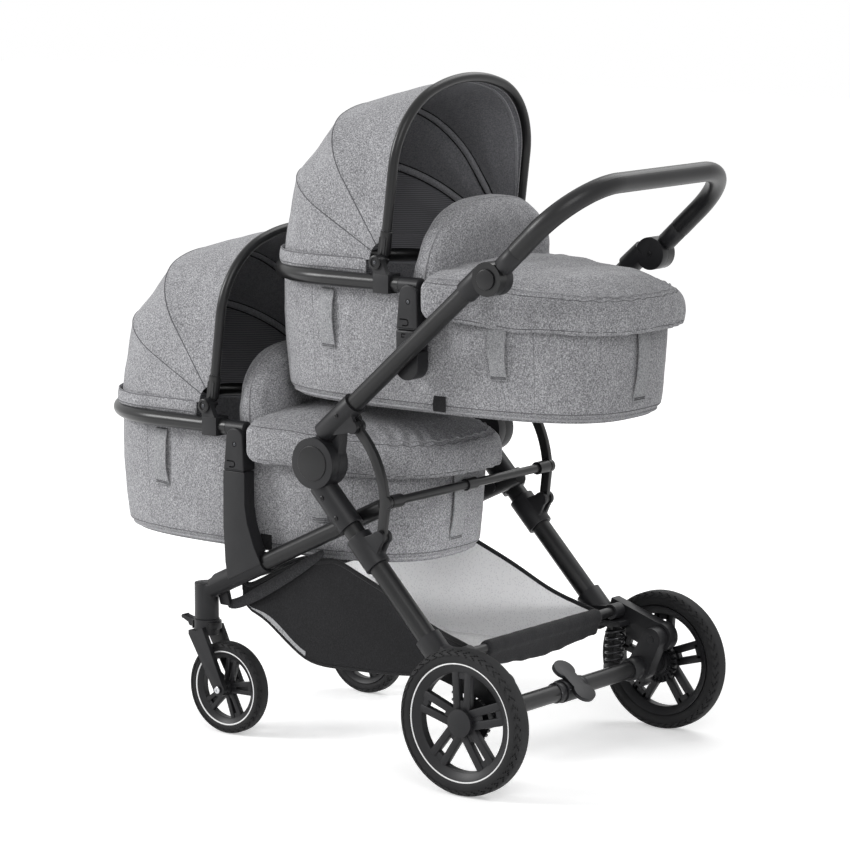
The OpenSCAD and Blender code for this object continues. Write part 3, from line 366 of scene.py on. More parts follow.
def ribbed(name, furrow_shade, rib, pitch_mm, roughness):
    """Ribbed mesh lining: level ribs one above the other, with painted shade in the dark furrows between them, where
    the bump sinks.
    """
    material, tree, shader, place = new_material(name, roughness, Sheen_Weight=0.1, Specular_IOR_Level=0.2)
    # A wave of scale 1 repeats every 2 pi / 20 of a metre.
    ribs = node(tree, "ShaderNodeTexWave", {"Vector": place}, wave_type="BANDS", bands_direction="Z",
                Scale=per_metre(pitch_mm) * math.pi / 10, Distortion=0.6, Detail=1.0)
    ramp = node(tree, "ShaderNodeValToRGB", {"Fac": ribs.outputs["Fac"]})
    # Painted shade: the furrows, where the wave is low and the bump sinks, take the dark tone.
    ramp.color_ramp.elements[0].position, ramp.color_ramp.elements[0].color = 0.1, linear(furrow_shade)
    ramp.color_ramp.elements[1].position, ramp.color_ramp.elements[1].color = 0.8, linear(rib)
    raised = node(tree, "ShaderNodeBump", {"Height": ribs.outputs["Fac"]}, Strength=0.5, Distance=0.0006)
    tree.links.new(ramp.outputs["Color"], shader.inputs["Base Color"])
    tree.links.new(raised.outputs["Normal"], shader.inputs["Normal"])
    return material


def grained(name, colour, pale, grain_mm, roughness, spread, bump, **sockets):
    """A hard or rubbery finish: fine grain that breaks up its shine, with a faint drift in tone."""
    material, tree, shader, place = new_material(name, roughness, **sockets)
    drift = node(tree, "ShaderNodeTexNoise", {"Vector": place}, Scale=per_metre(60.0), Detail=3.0)
    tone = node(tree, "ShaderNodeValToRGB", {"Fac": drift.outputs[0]})
    tone.color_ramp.elements[0].position, tone.color_ramp.elements[0].color = 0.35, linear(colour)
    tone.color_ramp.elements[1].position, tone.color_ramp.elements[1].color = 0.7, linear(pale)
    grain = node(tree, "ShaderNodeTexNoise", {"Vector": place}, Scale=per_metre(grain_mm), Detail=2.0)
    gloss = node(tree, "ShaderNodeMapRange", {"Value": grain.outputs[0]})
    gloss.inputs["To Min"].default_value = roughness - spread
    gloss.inputs["To Max"].default_value = roughness + spread
    raised = node(tree, "ShaderNodeBump", {"Height": grain.outputs[0]}, Strength=bump, Distance=0.0003)
    tree.links.new(tone.outputs["Color"], shader.inputs["Base Color"])
    tree.links.new(gloss.outputs[0], shader.inputs["Roughness"])
    tree.links.new(raised.outputs["Normal"], shader.inputs["Normal"])
    return material


def netted(name, thread, hole, pitch_mm, roughness, **sockets):
    """Knitted polyester net: threads round small darker holes, flat and matt."""
    material, tree, shader, place = new_material(
        name, roughness, Specular_IOR_Level=0.3, Sheen_Weight=0.2, **sockets)
    holes = node(tree, "ShaderNodeTexVoronoi", {"Vector": place}, Scale=per_metre(pitch_mm))
    ramp = node(tree, "ShaderNodeValToRGB", {"Fac": holes.outputs["Distance"]})
    ramp.color_ramp.elements[0].position, ramp.color_ramp.elements[0].color = 0.12, linear(hole)
    ramp.color_ramp.elements[1].position, ramp.color_ramp.elements[1].color = 0.4, linear(thread)
    raised = node(tree, "ShaderNodeBump", {"Height": holes.outputs["Distance"]}, Strength=0.4, Distance=0.0006)
    tree.links.new(ramp.outputs["Color"], shader.inputs["Base Color"])
    tree.links.new(raised.outputs["Normal"], shader.inputs["Normal"])
    return material


class PramFinish(bpy.types.PropertyGroup):
    """Colours of the cloth and finishes, as sRGB hex values."""
    cloth: bpy.props.StringProperty(
        name="Cot cloth", description="Middle tone of the cots' melange cloth", default="97979a")
    cloth_dark: bpy.props.StringProperty(
        name="Cot cloth, dark yarn", description="Darkest yarn of the melange cloth", default="6a6a6d")
    cloth_light: bpy.props.StringProperty(
        name="Cot cloth, light yarn", description="Lightest yarn of the melange cloth", default="c8c8cb")
    # Painted light: the lining is charcoal, and this middle tone is set lighter to stand in for light inside the
    # canopy.
    lining: bpy.props.StringProperty(
        name="Canopy lining", description="Middle tone of the lining", default="87878b")
    tube: bpy.props.StringProperty(
        name="Frame tube", description="Satin coat of the frame tubes", default="1a1a1b")
    moulding: bpy.props.StringProperty(
        name="Mouldings", description="Moulded nylon fittings", default="1c1c1e")
    rubber: bpy.props.StringProperty(
        name="Tyre rubber", description="Foam rubber of the tyres", default="1e1e1f")
    ring: bpy.props.StringProperty(
        name="Tyre ring", description="Bright ring on the outer sides of the tyres", default="f1f1f1")


class PramSizes(bpy.types.PropertyGroup):
    """Sizes of the soft goods and trim that a user would change."""
    cloth_thickness: bpy.props.FloatProperty(
        name="Canopy cloth", description="Thickness of the canopy's cloth with its lining", default=0.0024,
        unit="LENGTH")
    hem_height: bpy.props.FloatProperty(
        name="Canopy hem", description="Height of the padded hem above the rail", default=0.030, unit="LENGTH")
    skirt: bpy.props.FloatProperty(
        name="Apron skirt", description="How far the apron hangs below the rail", default=0.058, unit="LENGTH")
    flap_width: bpy.props.FloatProperty(
        name="Wind flap width", description="Width of the standing wind flap at its foot", default=0.368,
        unit="LENGTH")
    flap_height: bpy.props.FloatProperty(
        name="Wind flap height", description="Height of the standing wind flap", default=0.168, unit="LENGTH")
    flap_thickness: bpy.props.FloatProperty(
        name="Wind flap thickness", description="Thickness of the flap's edge", default=0.022, unit="LENGTH")
    loop_width: bpy.props.FloatProperty(
        name="Strap loops", description="Width of the sewn loops on the tubs", default=0.034, unit="LENGTH")
    tread_depth: bpy.props.FloatProperty(
        name="Tread", description="Depth of the tread blocks", default=0.0018, unit="LENGTH")
    swell: bpy.props.FloatProperty(
        name="Padding swell", description="How far padding may push the cloth out", default=0.006, unit="LENGTH")


class PRAM_OT_finishes(bpy.types.Operator):
    """Makes the materials and gives the frame's kept solids theirs"""
    bl_idname = "pram.finishes"
    bl_label = "Finishes"

    def execute(self, context):
        finish = context.scene.pram_finish
        # Polyester melange, woven: streaky two-tone yarns that read as a speckled mid grey with a soft bloom.
        # Yarns of 0.6 mm are too fine for the render, so they are drawn at 1.4 mm.
        woven("melange polyester", finish.cloth_dark, finish.cloth, finish.cloth_light, 1.4, 0.92, 0.15, 0.4)
        # The same cloth in charcoal for the lining, flatter and with less bloom. Its three tones are set lighter than
        # the real charcoal as painted light, standing in for light inside the canopy that the lamps don't give.
        woven("charcoal melange lining", "76767a", finish.lining, "98989c", 1.7, 0.95, 0.1, 0.35)
        # Rib pockets and the bow's edge band: the lining's yarns, a tone lighter.
        woven("grey rib tape", "8c8c90", "a0a0a4", "b2b2b6", 1.5, 0.95, 0.1, 0.4)
        # Warp-knitted ventilation lining with level ribs of 3 mm, drawn at 3.6 mm so that they show.
        # Painted light and shade: both tones are set lighter than the real knit to stand in for light inside the
        # canopy, and the darker one paints shade in the furrows.
        ribbed("ribbed knit lining", "66666a", "88888c", 3.6, 0.95)
        # Oxford nylon, plain black weave: a dull black that greys where folds catch light.
        woven("black oxford nylon", "171718", "1d1d1f", "252527", 1.6, 0.8, 0.06, 0.5)
        # Nylon webbing, ribbed and tight: the melange tone with a harder weave.
        woven("grey webbing", "7b7b7e", "999a9c", "b9b9bc", 1.4, 0.88, 0.15, 0.6)
        # Cotton jersey over the mattress: pale, close and matt.
        woven("pale jersey", "b9b9bb", "cfcfd1", "e2e2e3", 1.4, 0.95, 0.3, 0.3)
        # Knitted net of the basket's lining, pitch 2.5 mm drawn at 4 mm so that it shows.
        netted("pale knitted net", "f4f4f5", "dedee0", 4.0, 0.85)
        # The same pale net darkened to grey as painted shade, where it shows below the front of the basket's walls.
        netted("grey knitted net", "a6a7a9", "6f7072", 4.0, 0.85)
        # The floor's net is close-knit and lets a little of the ground show through.
        netted("sheer floor net", "fafafa", "dedee0", 4.0, 0.85, Alpha=0.8)
        # Charcoal twill webbing of the basket's front bands, a tone lighter than the black cloth.
        woven("charcoal webbing", "28282a", "343436", "424244", 1.4, 0.85, 0.1, 0.5)
        # Powder-coated aluminium, satin: a dark grey-black with long soft highlights.
        grained("satin coated aluminium", finish.tube, "202021", 1.2, 0.3, 0.05, 0.06, Specular_IOR_Level=0.32)
        # Glass-filled nylon, moulded and sparked: a dull grain with broad dim highlights.
        grained("moulded nylon", finish.moulding, "232325", 0.9, 0.42, 0.08, 0.12, Specular_IOR_Level=0.28)
        # Smooth nylon caps, slightly glossier than the grained mouldings.
        grained("smooth nylon", "131314", "18181a", 0.7, 0.32, 0.05, 0.05, Specular_IOR_Level=0.3)
        # Foamed rubber tyre: matt, dusty dark grey.
        grained("foam rubber", finish.rubber, "272728", 1.6, 0.7, 0.08, 0.3, Specular_IOR_Level=0.25)
        # Coated foam sleeve of the handle: soft black skin with a leather-like grain.
        grained("foam grip skin", "131314", "18181a", 1.8, 0.36, 0.06, 0.15, Specular_IOR_Level=0.34)
        # Blackened spring steel: dark wire with crisp narrow highlights.
        grained("blackened steel", "2c2c2e", "39393b", 0.8, 0.3, 0.06, 0.05, Metallic=0.6)
        # Chromed steel of bolts and screws: bright, with fine scuffs.
        grained("chromed steel", "c4c5c8", "dcdde0", 0.8, 0.18, 0.06, 0.03, Metallic=1.0)
        # Zinc-plated screws: a dull grey metal that seldom glints.
        grained("zinc plated steel", "4a4b4e", "57585b", 0.8, 0.5, 0.06, 0.05, Metallic=0.9)
        # Reflective film ring on the tyres: bright white and smooth.
        grained("white reflective film", finish.ring, "fafafa", 1.0, 0.4, 0.05, 0.02)
        # Polyester sewing thread: a shade darker than the cloth it draws in.
        grained("grey sewing thread", "58585b", "6a6a6d", 0.8, 0.9, 0.05, 0.3)
        # Black binding tape on canopy and basket edges.
        woven("black binding tape", "151516", "1d1d1f", "282829", 1.4, 0.8, 0.1, 0.5)
        # Grey melange piping cord, close to the cloth's own tone.
        woven("melange piping", "838386", "9e9ea1", "b9b9bc", 1.4, 0.9, 0.15, 0.4)
        kept = {
            "satin coated aluminium": (
                "rear_legs front_legs upper_tubes handle_tube basket_bar axle_tube front_crossbar link_bar "
                "upper_rail lower_rail"),
            "foam grip skin": "handle_grip",
            "blackened steel": "brake_pin_left brake_pin_right",
        }
        for material, nodes in kept.items():
            for name in nodes.split():
                solid = frame["nodes"][name]
                for slot in solid.material_slots:
                    slot.link = "OBJECT"
                    slot.material = bpy.data.materials[material]
        return {"FINISHED"}


def seen_straight(tree):
    """One for rays that see a surface directly, in a reflection or through glass, and none for other light."""
    path = node(tree, "ShaderNodeLightPath")
    direct = node(tree, "ShaderNodeMath", {0: path.outputs["Is Camera Ray"], 1: path.outputs["Is Glossy Ray"]},
                  operation="MAXIMUM")
    direct = node(tree, "ShaderNodeMath", {0: direct.outputs[0], 1: path.outputs["Is Transmission Ray"]},
                  operation="MAXIMUM")
    return direct.outputs[0]


class PRAM_OT_stage(bpy.types.Operator):
    """Sets the camera, the pale floor, the soft lamps and the white surround"""
    bl_idname = "pram.stage"
    bl_label = "Stage"

    def execute(self, context):
        scene = context.scene
        scene.view_settings.view_transform = "Standard"
        lens = bpy.data.cameras.new("camera")
        lens.lens, lens.sensor_width, lens.clip_end = 157.61, 36.0, 60.0
        camera = bpy.data.objects.new("camera", lens)
        scene.collection.objects.link(camera)
        camera.location = (4.138463, -5.36294, 1.64603)
        look = Vector((0.078393, 0.0, 0.58017)) - camera.location
        camera.rotation_euler = look.to_track_quat("-Z", "Y").to_euler()
        scene.camera = camera
        floor = start("plane", size=30.0, location=(0, 0, -0.0005))
        floor.name = "floor"
        # Matt white paper sweep: seen directly it is lifted to white, and it still takes the shadow.
        material, tree, shader, place = new_material("white paper", 0.95, Specular_IOR_Level=0.1)
        shader.inputs["Base Color"].default_value = linear("fafafa")
        grain = node(tree, "ShaderNodeTexNoise", {"Vector": place}, Scale=per_metre(3.0))
        raised = node(tree, "ShaderNodeBump", {"Height": grain.outputs[0]}, Strength=0.02, Distance=0.0003)
        tree.links.new(raised.outputs["Normal"], shader.inputs["Normal"])
        away = node(tree, "ShaderNodeVectorMath", {0: place}, operation="LENGTH")
        lift = node(tree, "ShaderNodeMapRange", {"Value": away.outputs["Value"]})
        for key, value in (("From Min", 0.7), ("From Max", 2.6), ("To Min", 0.4), ("To Max", 0.68)):
            lift.inputs[key].default_value = value
        shown = node(tree, "ShaderNodeMath", {0: seen_straight(tree), 1: lift.outputs[0]}, operation="MULTIPLY")
        glow = node(tree, "ShaderNodeEmission", {"Strength": shown.outputs[0]}, Color=linear("ffffff"))
        both = node(tree, "ShaderNodeAddShader", {0: shader.outputs[0], 1: glow.outputs[0]})
        node(tree, "ShaderNodeOutputMaterial", {"Surface": both.outputs[0]}).is_active_output = True
        floor.data.materials.append(material)
        world = bpy.data.worlds.new("white surround")
        scene.world = world
        world.use_nodes = True
        tree = world.node_tree
        tree.nodes.clear()
        lit = node(tree, "ShaderNodeBackground", Color=linear("ffffff"), Strength=0.36)
        white = node(tree, "ShaderNodeBackground", Color=linear("ffffff"), Strength=1.0)
        mix = node(tree, "ShaderNodeMixShader", {0: seen_straight(tree), 1: lit.outputs[0], 2: white.outputs[0]})
        node(tree, "ShaderNodeOutputWorld", {"Surface": mix.outputs[0]})
        lamps = (
            ("lamp at the head end", (-3.6, -3.2, 2.9), 1.7, 170.0),
            ("lamp over the camera", (3.6, -3.4, 3.4), 2.4, 70.0),
            ("lamp above", (0.3, 2.4, 3.8), 2.6, 60.0),
        )
        for name, place, size, power in lamps:
            light = bpy.data.lights.new(name, "AREA")
            light.shape, light.size, light.energy = "SQUARE", size, power
            lamp = bpy.data.objects.new(name, light)
            scene.collection.objects.link(lamp)
            lamp.location = place
            lamp.rotation_euler = (Vector((0, 0, 0.5)) - lamp.location).to_track_quat("-Z", "Y").to_euler()
        # A soft narrow lamp behind the pram lights the inside of the basket.
        light = bpy.data.lights.new("lamp into the basket", "SPOT")
        light.energy, light.shadow_soft_size = 190.0, 0.2
        light.spot_size, light.spot_blend = math.radians(11.5), 0.7
        lamp = bpy.data.objects.new("lamp into the basket", light)
        scene.collection.objects.link(lamp)
        lamp.location = (1.9, -0.75, 0.42)
        lamp.rotation_euler = (Vector((0.0, 0.1, 0.2)) - lamp.location).to_track_quat("-Z", "Y").to_euler()
        return {"FINISHED"}


# Soft goods

def plump(piece, voxel, cap, held):
    """Swells a padded piece with a short cloth run, caps how far each point goes, and smooths it once."""
    pick(piece)
    piece.data.remesh_voxel_size = voxel
    bpy.ops.object.voxel_remesh()
    rest = [v.co.copy() for v in piece.data.vertices]
    pins = piece.vertex_groups.new(name="held")
    pins.add([i for i, co in enumerate(rest) if held(co)], 1.0, "ADD")
    cloth = piece.modifiers.new("swell", "CLOTH")
    cloth.settings.use_pressure = True
    cloth.settings.uniform_pressure_force = 4.0
    cloth.settings.vertex_group_mass = "held"
    cloth.settings.effector_weights.gravity = 0.0
    cloth.point_cache.frame_start, cloth.point_cache.frame_end = 1, 20
    for step in range(1, 21):
        bpy.context.scene.frame_set(step)
    run = piece.evaluated_get(bpy.context.evaluated_depsgraph_get())
    moved = [v.co.copy() for v in run.data.vertices]
    piece.modifiers.remove(cloth)
    piece.vertex_groups.remove(pins)
    for vertex, start, end in zip(piece.data.vertices, rest, moved):
        step = end - start
        vertex.co = start + step * min(1.0, cap / max(step.length, 1e-9))
    bpy.context.scene.frame_set(1)
    piece.data.update()
    apply_modifier(piece, "SMOOTH", factor=0.5, iterations=4)
    apply_modifier(piece, "SUBSURF", levels=1, render_levels=1)
    return round_off(piece, 80)


def tub_ring(z, grow=0.0, count=160):
    """The tub's outline at a height, in a cot's millimetres; it stands straight at the top and draws in below."""
    fall = max(0.0, (-85.0 - z) / 145.0)
    inward = 11.0 * fall ** 1.3 + 15.0 * smooth_step(-212.0, -232.0, z) * (1 if z < -212 else 0)
    a = TUB["half_length"] - inward + grow
    b = TUB["half_width"] - 0.9 * inward + grow
    ring = []
    for k in range(count):
        t = 2 * math.pi * k / count
        c, s = math.cos(t), math.sin(t)
        ring.append((TUB["centre"] + a * math.copysign(abs(c) ** (2 / 3), c),
                     b * math.copysign(abs(s) ** (2 / 3), s)))
    return ring


class PRAM_OT_tubs(bpy.types.Operator):
    """Sews the two tubs with their hems, strap loops and tabs"""
    bl_idname = "pram.tubs"
    bl_label = "Tubs"

    def execute(self, context):
        half = context.scene.pram_sizes.loop_width / MM / 2
        heights = [-231, -230, -227, -222, -216, -208, -196, -180, -160, -140, -120, -100, -80, -60, -40, -26, -18, -15]
        for cot in COTS:
            rows = [[on_cot(cot, TUB["centre"] + (x - TUB["centre"]) * f, y * f, -231.0) for x, y in tub_ring(-231)]
                    for f in (0.02, 0.35, 0.7, 0.92)]
            for z in heights:
                row = []
                for x, y in tub_ring(z):
                    slack = 2.2 * waver(x / 46, z / 34 + (0.8 if cot == "lower" else 0.0)) * smooth_step(-15, -70, z)
                    slack *= smooth_step(-231, -200, z)
                    row.append(on_cot(cot, x, y + math.copysign(slack, y), z))
                rows.append(row)
            shell = clean(skin(f"{cot}_tub_cloth", rows, ring=True))
            dress(shell, ["melange polyester", "charcoal melange lining"], f"{cot}_cot")
            apply_modifier(shell, "SOLIDIFY", thickness=0.005, offset=-1.0, material_offset=1)
            round_off(shell, 70)
            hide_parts(f"{cot}_tub")
            surface = surface_of(shell)
            path = laid([on_cot(cot, x, y, -224.0) for x, y in tub_ring(-224.0, 2.0)], surface, 0.0008)
            piping = tube(f"{cot}_tub_piping", path, 0.0026, 8, closed=True)
            dress(piping, ["melange piping"], f"{cot}_cot")
            path = laid([on_cot(cot, x, y, -214.0) for x, y in tub_ring(-214.0, 2.0)], surface, -0.0002)
            threads = [tube("hem", path, 0.0009, 6, closed=True)]
            for x in (-262.0, 236.0):
                for side in (-1, 1):
                    path = laid([on_cot(cot, x, side * 192.0, z) for z in range(-206, -16, 8)], surface, -0.0004)
                    threads.append(tube("seam", path, 0.0006, 6, up=(1, 0, 0)))
            loops = []
            places = [(-217.0, side * 200.0, -24.0, -132.0) for side in (-1, 1)]
            places += [(166.0, side * 200.0, -60.0, -160.0) for side in (-1, 1)]
            places += [(352.0, -12.0, -60.0, -198.0), (-412.0, 0.0, -40.0, -150.0)]
            for x, y, high, low in places:
                end_on = abs(y) < 50
                out = Vector((math.copysign(1, x), 0, 0)) if end_on else Vector((0, math.copysign(1, y), 0))

                def across(w, z, lift):
                    """A point of the loop: across its width, at a height, off the tub."""
                    seat = on_cot(cot, x + (0 if end_on else w), y + (w if end_on else 0), z)
                    return laid([seat], surface, 0)[0] + out * lift

                rows = []
                for i in range(17):
                    t = i / 16
                    z = high + (low - high) * t
                    lift = 0.0022 + 0.0058 * math.sin(math.pi * min(1, t * 1.1)) ** 0.7
                    spots = [-half + 2 * half * k / 6 for k in range(7)]
                    row = [across(w, z, lift + 0.0012 + 0.0009 * (1 - (w / half) ** 2)) for w in spots]
                    rows.append(row + [across(w, z, lift - 0.0012) for w in reversed(spots)])
                loops.append(clean(skin("loop", rows, ring=True, cap=True)))
                for z in (low + 3, low + 6):
                    line = [across(w * half * 0.94, z, 0.0046) for w in (-1, -0.5, 0, 0.5, 1)]
                    threads.append(tube("sew", line, 0.0009, 6))
            webbing = join(f"{cot}_tub_loops", loops)
            dress(webbing, ["grey webbing"], f"{cot}_cot")
            round_off(webbing, 50)
            sewn = join(f"{cot}_tub_stitching", threads)
            dress(sewn, ["grey sewing thread"], f"{cot}_cot")
            tabs = []
            for side in (-1, 1):
                seat = laid([on_cot(cot, 38.0, side * 190.0, -203.0)], surface, 0)[0]
                tabs.append(clean(new_piece("tab", *folded_tab(seat, side))))
            pulls = join(f"{cot}_tub_tabs", tabs)
            dress(pulls, ["black binding tape"], f"{cot}_cot")
            round_off(pulls, 50)
        return {"FINISHED"}


def folded_tab(seat, side):
    """Points and faces of a short folded tape that hangs from the tub's hem."""
    points, faces = [], []
    profile = [(0.0008, 0.006), (0.0034, -0.004), (0.0044, -0.012), (0.0030, -0.021), (0.0006, -0.022),
               (0.0004, -0.012)]
    for x in (-0.013, -0.006, 0.006, 0.013):
        for out, z in profile:
            points.append(seat + Vector((x, side * (out + 0.0008), z)))
    n = len(profile)
    for i in range(3):
        for k in range(n):
            faces.append((i * n + k, i * n + (k + 1) % n, (i + 1) * n + (k + 1) % n, (i + 1) * n + k))
    faces.append(tuple(range(n)))
    faces.append(tuple(reversed(range(3 * n, 4 * n))))
    return points, faces


class PRAM_OT_mattresses(bpy.types.Operator):
    """Fills the two mattresses"""
    bl_idname = "pram.mattresses"
    bl_label = "Mattresses"

    def execute(self, context):
        for cot in COTS:
            low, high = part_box(f"{cot}_mattress")
            origin = cot_origin(cot)
            bottom, top = (low.z - origin.z) / MM + 1.0, (high.z - origin.z) / MM - 3.0
            rows = []
            for z, inset in ((bottom, 20), (bottom, 7), (bottom + 5, 2), (bottom + 18, 0), (top - 14, 0),
                             (top - 4, 4), (top, 12), (top + 2, 60), (top + 3, 110)):
                row = []
                for k in range(120):
                    t = 2 * math.pi * k / 120
                    c, s = math.cos(t), math.sin(t)
                    row.append(on_cot(cot, TUB["centre"] - 4.0 + (328.0 - inset) * math.copysign(abs(c) ** 0.667, c),
                                      (150.0 - inset) * math.copysign(abs(s) ** 0.667, s), z))
                rows.append(row)
            pad = clean(skin(f"{cot}_mattress_pad", rows, ring=True, cap=True))
            floor = cot_origin(cot).z + (bottom + 6) * MM
            plump(pad, 0.006, context.scene.pram_sizes.swell * 0.6, lambda co: co.z < floor)
            dress(pad, ["pale jersey"], f"{cot}_cot")
            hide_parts(f"{cot}_mattress")
        return {"FINISHED"}


def apron_outline(count=150):
    """The apron's edge in plan, from the front left round the foot to the front right, with an ear behind each hub."""
    ear = [(-6.0, 187.3), (6.0, 187.3), (15.0, 187.3), (20.5, 187.4), (22.6, 190.0), (22.9, 199.0), (23.1, 209.0),
           (23.6, 218.0), (26.0, 224.5), (31.0, 227.5), (38.0, 228.0), (50.0, 226.0), (64.0, 221.6), (80.0, 216.0),
           (98.0, 209.6), (118.0, 203.4), (140.0, 198.2)]
    foot = []
    for k in range(count + 1):
        t = -math.pi / 2 + math.pi * k / count
        c, s = max(0.0, math.cos(t)), math.sin(t)
        x, y = TUB["centre"] + 403.0 * c ** (2 / 3), 196.0 * math.copysign(abs(s) ** (2 / 3), s)
        if x > 152.0:
            foot.append((x, y))
    return [(x, -y) for x, y in ear] + foot + [(x, y) for x, y in reversed(ear)]


class PRAM_OT_aprons(bpy.types.Operator):
    """Pads the two aprons, with their skirts, piping and stitched hems"""
    bl_idname = "pram.aprons"
    bl_label = "Aprons"

    def execute(self, context):
        sizes = context.scene.pram_sizes
        drop = sizes.skirt / MM
        outline = apron_outline()
        for cot in COTS:
            phase = 0.0 if cot == "upper" else 2.1
            pucker = 2.6 if cot == "upper" else 3.6
            columns = []
            for x, y in outline:
                seam = 2.0 - 12.0 * smooth_step(50, 230, x)
                if x < 22:
                    low = -4.0
                elif x < 54:
                    low = -drop + 32.0 - math.sqrt(max(0.0, 32.0 ** 2 - (54.0 - x) ** 2))
                else:
                    low = -drop - 14.0 * smooth_step(60, 230, x) + 2.0 * waver(x / 60 + phase, y / 90)
                column = []
                along = math.atan2(y, x - 150.0)
                foot = smooth_step(250, 330, x)
                for i in range(13):
                    t = i / 12
                    z = low + (seam - low) * t
                    gather = foot * pucker * math.sin(along * 46 + phase)
                    wave = (1 - t) * (2.6 * waver(along * 7 + phase, t * 2) + gather)
                    puff = 5.0 * math.sin(math.pi * min(1.0, t * 1.15)) ** 0.8
                    out = 1 + (wave + puff) / 196.0 * smooth_step(34, 90, x)
                    column.append((TUB["centre"] + (x - TUB["centre"]) * (1 + (out - 1) * 0.5), y * out, z))
                middle_x = 205.0 + 0.18 * (x - 205.0) if x > 205 else x
                for i in range(1, 15):
                    t = i / 14
                    ease = t ** 1.15
                    px = x + (middle_x - x) * ease
                    py = y * (1 - ease)
                    crown = seam + 7.0 * math.sin(min(1.0, t * 6) * math.pi / 2) + 25.0 * (1 - (1 - t) ** 2.2)
                    crown -= 7.0 * smooth_step(220, 360, px)
                    crown += 2.4 * waver(px / 34 + phase, py / 30) * smooth_step(0.05, 0.3, t)
                    gather = foot * pucker * math.sin(along * 46 + phase) * max(0.0, 1 - t * 2.6)
                    column.append((px, py, crown + gather))
                columns.append(column)
            rows = [[on_cot(cot, *columns[k][i]) for k in range(len(columns))] for i in range(len(columns[0]))]
            pad = clean(skin(f"{cot}_apron_pad", rows), 0.0004)
            apply_modifier(pad, "SOLIDIFY", thickness=0.007, offset=-1.0)
            hold = cot_origin(cot) + Vector((0.045, 0, -0.022))
            plump(pad, 0.005, sizes.swell, lambda co: co.z < hold.z or co.x < hold.x)
            dress(pad, ["melange polyester"], f"{cot}_cot")
            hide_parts(f"{cot}_apron")
            surface = surface_of(pad)
            edge = [on_cot(cot, *c[14]) for c in columns[4:-4]]
            cord = tube(f"{cot}_apron_piping", laid(edge, surface, 0.0004), 0.0018, 8)
            dress(cord, ["melange piping"], f"{cot}_cot")
            run = [on_cot(cot, c[0][0], c[0][1], c[0][2] + 9.0) for c in columns if c[0][0] > 44]
            threads = [tube("hem", laid(run, surface, -0.0002), 0.0008, 6)]
            under = [on_cot(cot, *c[13]) - Vector((0, 0, 0.003)) for c in columns[4:-4]]
            threads.append(tube("edge", laid(under, surface, -0.0001), 0.0009, 6))
            sewn = join(f"{cot}_apron_stitching", threads)
            dress(sewn, ["grey sewing thread"], f"{cot}_cot")
        return {"FINISHED"}


class PRAM_OT_flaps(bpy.types.Operator):
    """Pads the two standing wind flaps"""
    bl_idname = "pram.flaps"
    bl_label = "Wind flaps"

    def execute(self, context):
        sizes = context.scene.pram_sizes
        half, tall, thick = sizes.flap_width / MM / 2, sizes.flap_height / MM, sizes.flap_thickness / MM / 2
        for cot, foot, lean in (("upper", -15.0, 6.0), ("lower", -11.0, -8.0)):
            tilt = math.radians(lean)

            def stand(out, y, up):
                """A point of the flap: out of its face, across it and up it."""
                return on_cot(cot, foot + up * math.sin(tilt) + out * math.cos(tilt), y,
                              -20.0 + up * math.cos(tilt) - out * math.sin(tilt))

            outline = []
            for k in range(65):
                c, s = math.cos(math.pi * k / 64), math.sin(math.pi * k / 64)
                outline.append((half * math.copysign(abs(c) ** 0.76, c), max(0.0, tall * s ** 0.74)))
            rows = []
            for face, size in (
                    (-1, 0.02), (-1, 0.35), (-1, 0.65), (-1, 0.86), (-1, 0.95), (-0.92, 0.985), (-0.5, 1.0), (0.4, 1.0),
                    (0.9, 0.994), (1, 0.986), (1, 0.972), (1, 0.95), (1, 0.92), (1, 0.87), (1, 0.78),
                    (1, 0.6), (1, 0.3),
                    (1, 0.02)):
                row = []
                for y, up in outline:
                    bulge = 33.0 * (1 - size ** 24) if face > 0 else 5.0 * (1 - size ** 4)
                    bulge += 1.2 * waver(y / 40, up / 26)
                    out = face * thick + (math.copysign(bulge, face) if abs(face) == 1 else 0.0)
                    row.append(stand(out, y * size, up * size))
                rows.append(row)
            pad = clean(skin(f"{cot}_flap_pad", rows, ring=True, cap=True), 0.0002)
            base = cot_origin(cot).z - 0.008
            plump(pad, 0.005, sizes.swell * 0.8, lambda co: co.z < base)
            dress(pad, ["melange polyester"], f"{cot}_cot")
            surface = surface_of(pad)
            for name, material, radius, sink, size in (("piping", "melange piping", 0.0017, 0.0004, 0.985),
                                                       ("stitching", "grey sewing thread", 0.0009, -0.0002, 0.966)):
                lines = []
                for face in (-1, 1):
                    path = [stand(face * (thick + 3.0), y * size, up * size) for y, up in outline if up > 14.0]
                    lines.append(tube("line", laid(path, surface, sink), radius, 8, up=(1, 0, 0)))
                sewn = join(f"{cot}_flap_{name}", lines)
                dress(sewn, [material], f"{cot}_cot")
        return {"FINISHED"}


def arch(foot, fine=1):
    """Half of the canopy's arch and its mirror: distance from the pivot's axis, place across, and outward direction."""
    half = []
    for k in range(8 * fine):
        half.append((foot + (ARCH["leg"] - foot) * k / (8 * fine), ARCH["half"], 0.0))
    turn = math.radians(ARCH["turn"])
    steps = 14 * fine
    for k in range(steps):
        t = turn * k / steps
        half.append((ARCH["leg"] + ARCH["shoulder"] * math.sin(t),
                     ARCH["half"] - ARCH["shoulder"] * (1 - math.cos(t)), t))
    start = (ARCH["leg"] + ARCH["shoulder"] * math.sin(turn) + ARCH["join"] * math.cos(turn),
             ARCH["half"] - ARCH["shoulder"] * (1 - math.cos(turn)) - ARCH["join"] * math.sin(turn))
    radius = start[1] / math.cos(turn)
    steps = 10 * fine
    for k in range(steps + 1):
        t = turn + (math.pi / 2 - turn) * k / steps
        half.append((start[0] + radius * (math.sin(t) - math.sin(turn)), radius * math.cos(t), t))
    left = [(r, -y, math.pi - t) for r, y, t in reversed(half[:-1])]
    return half + left


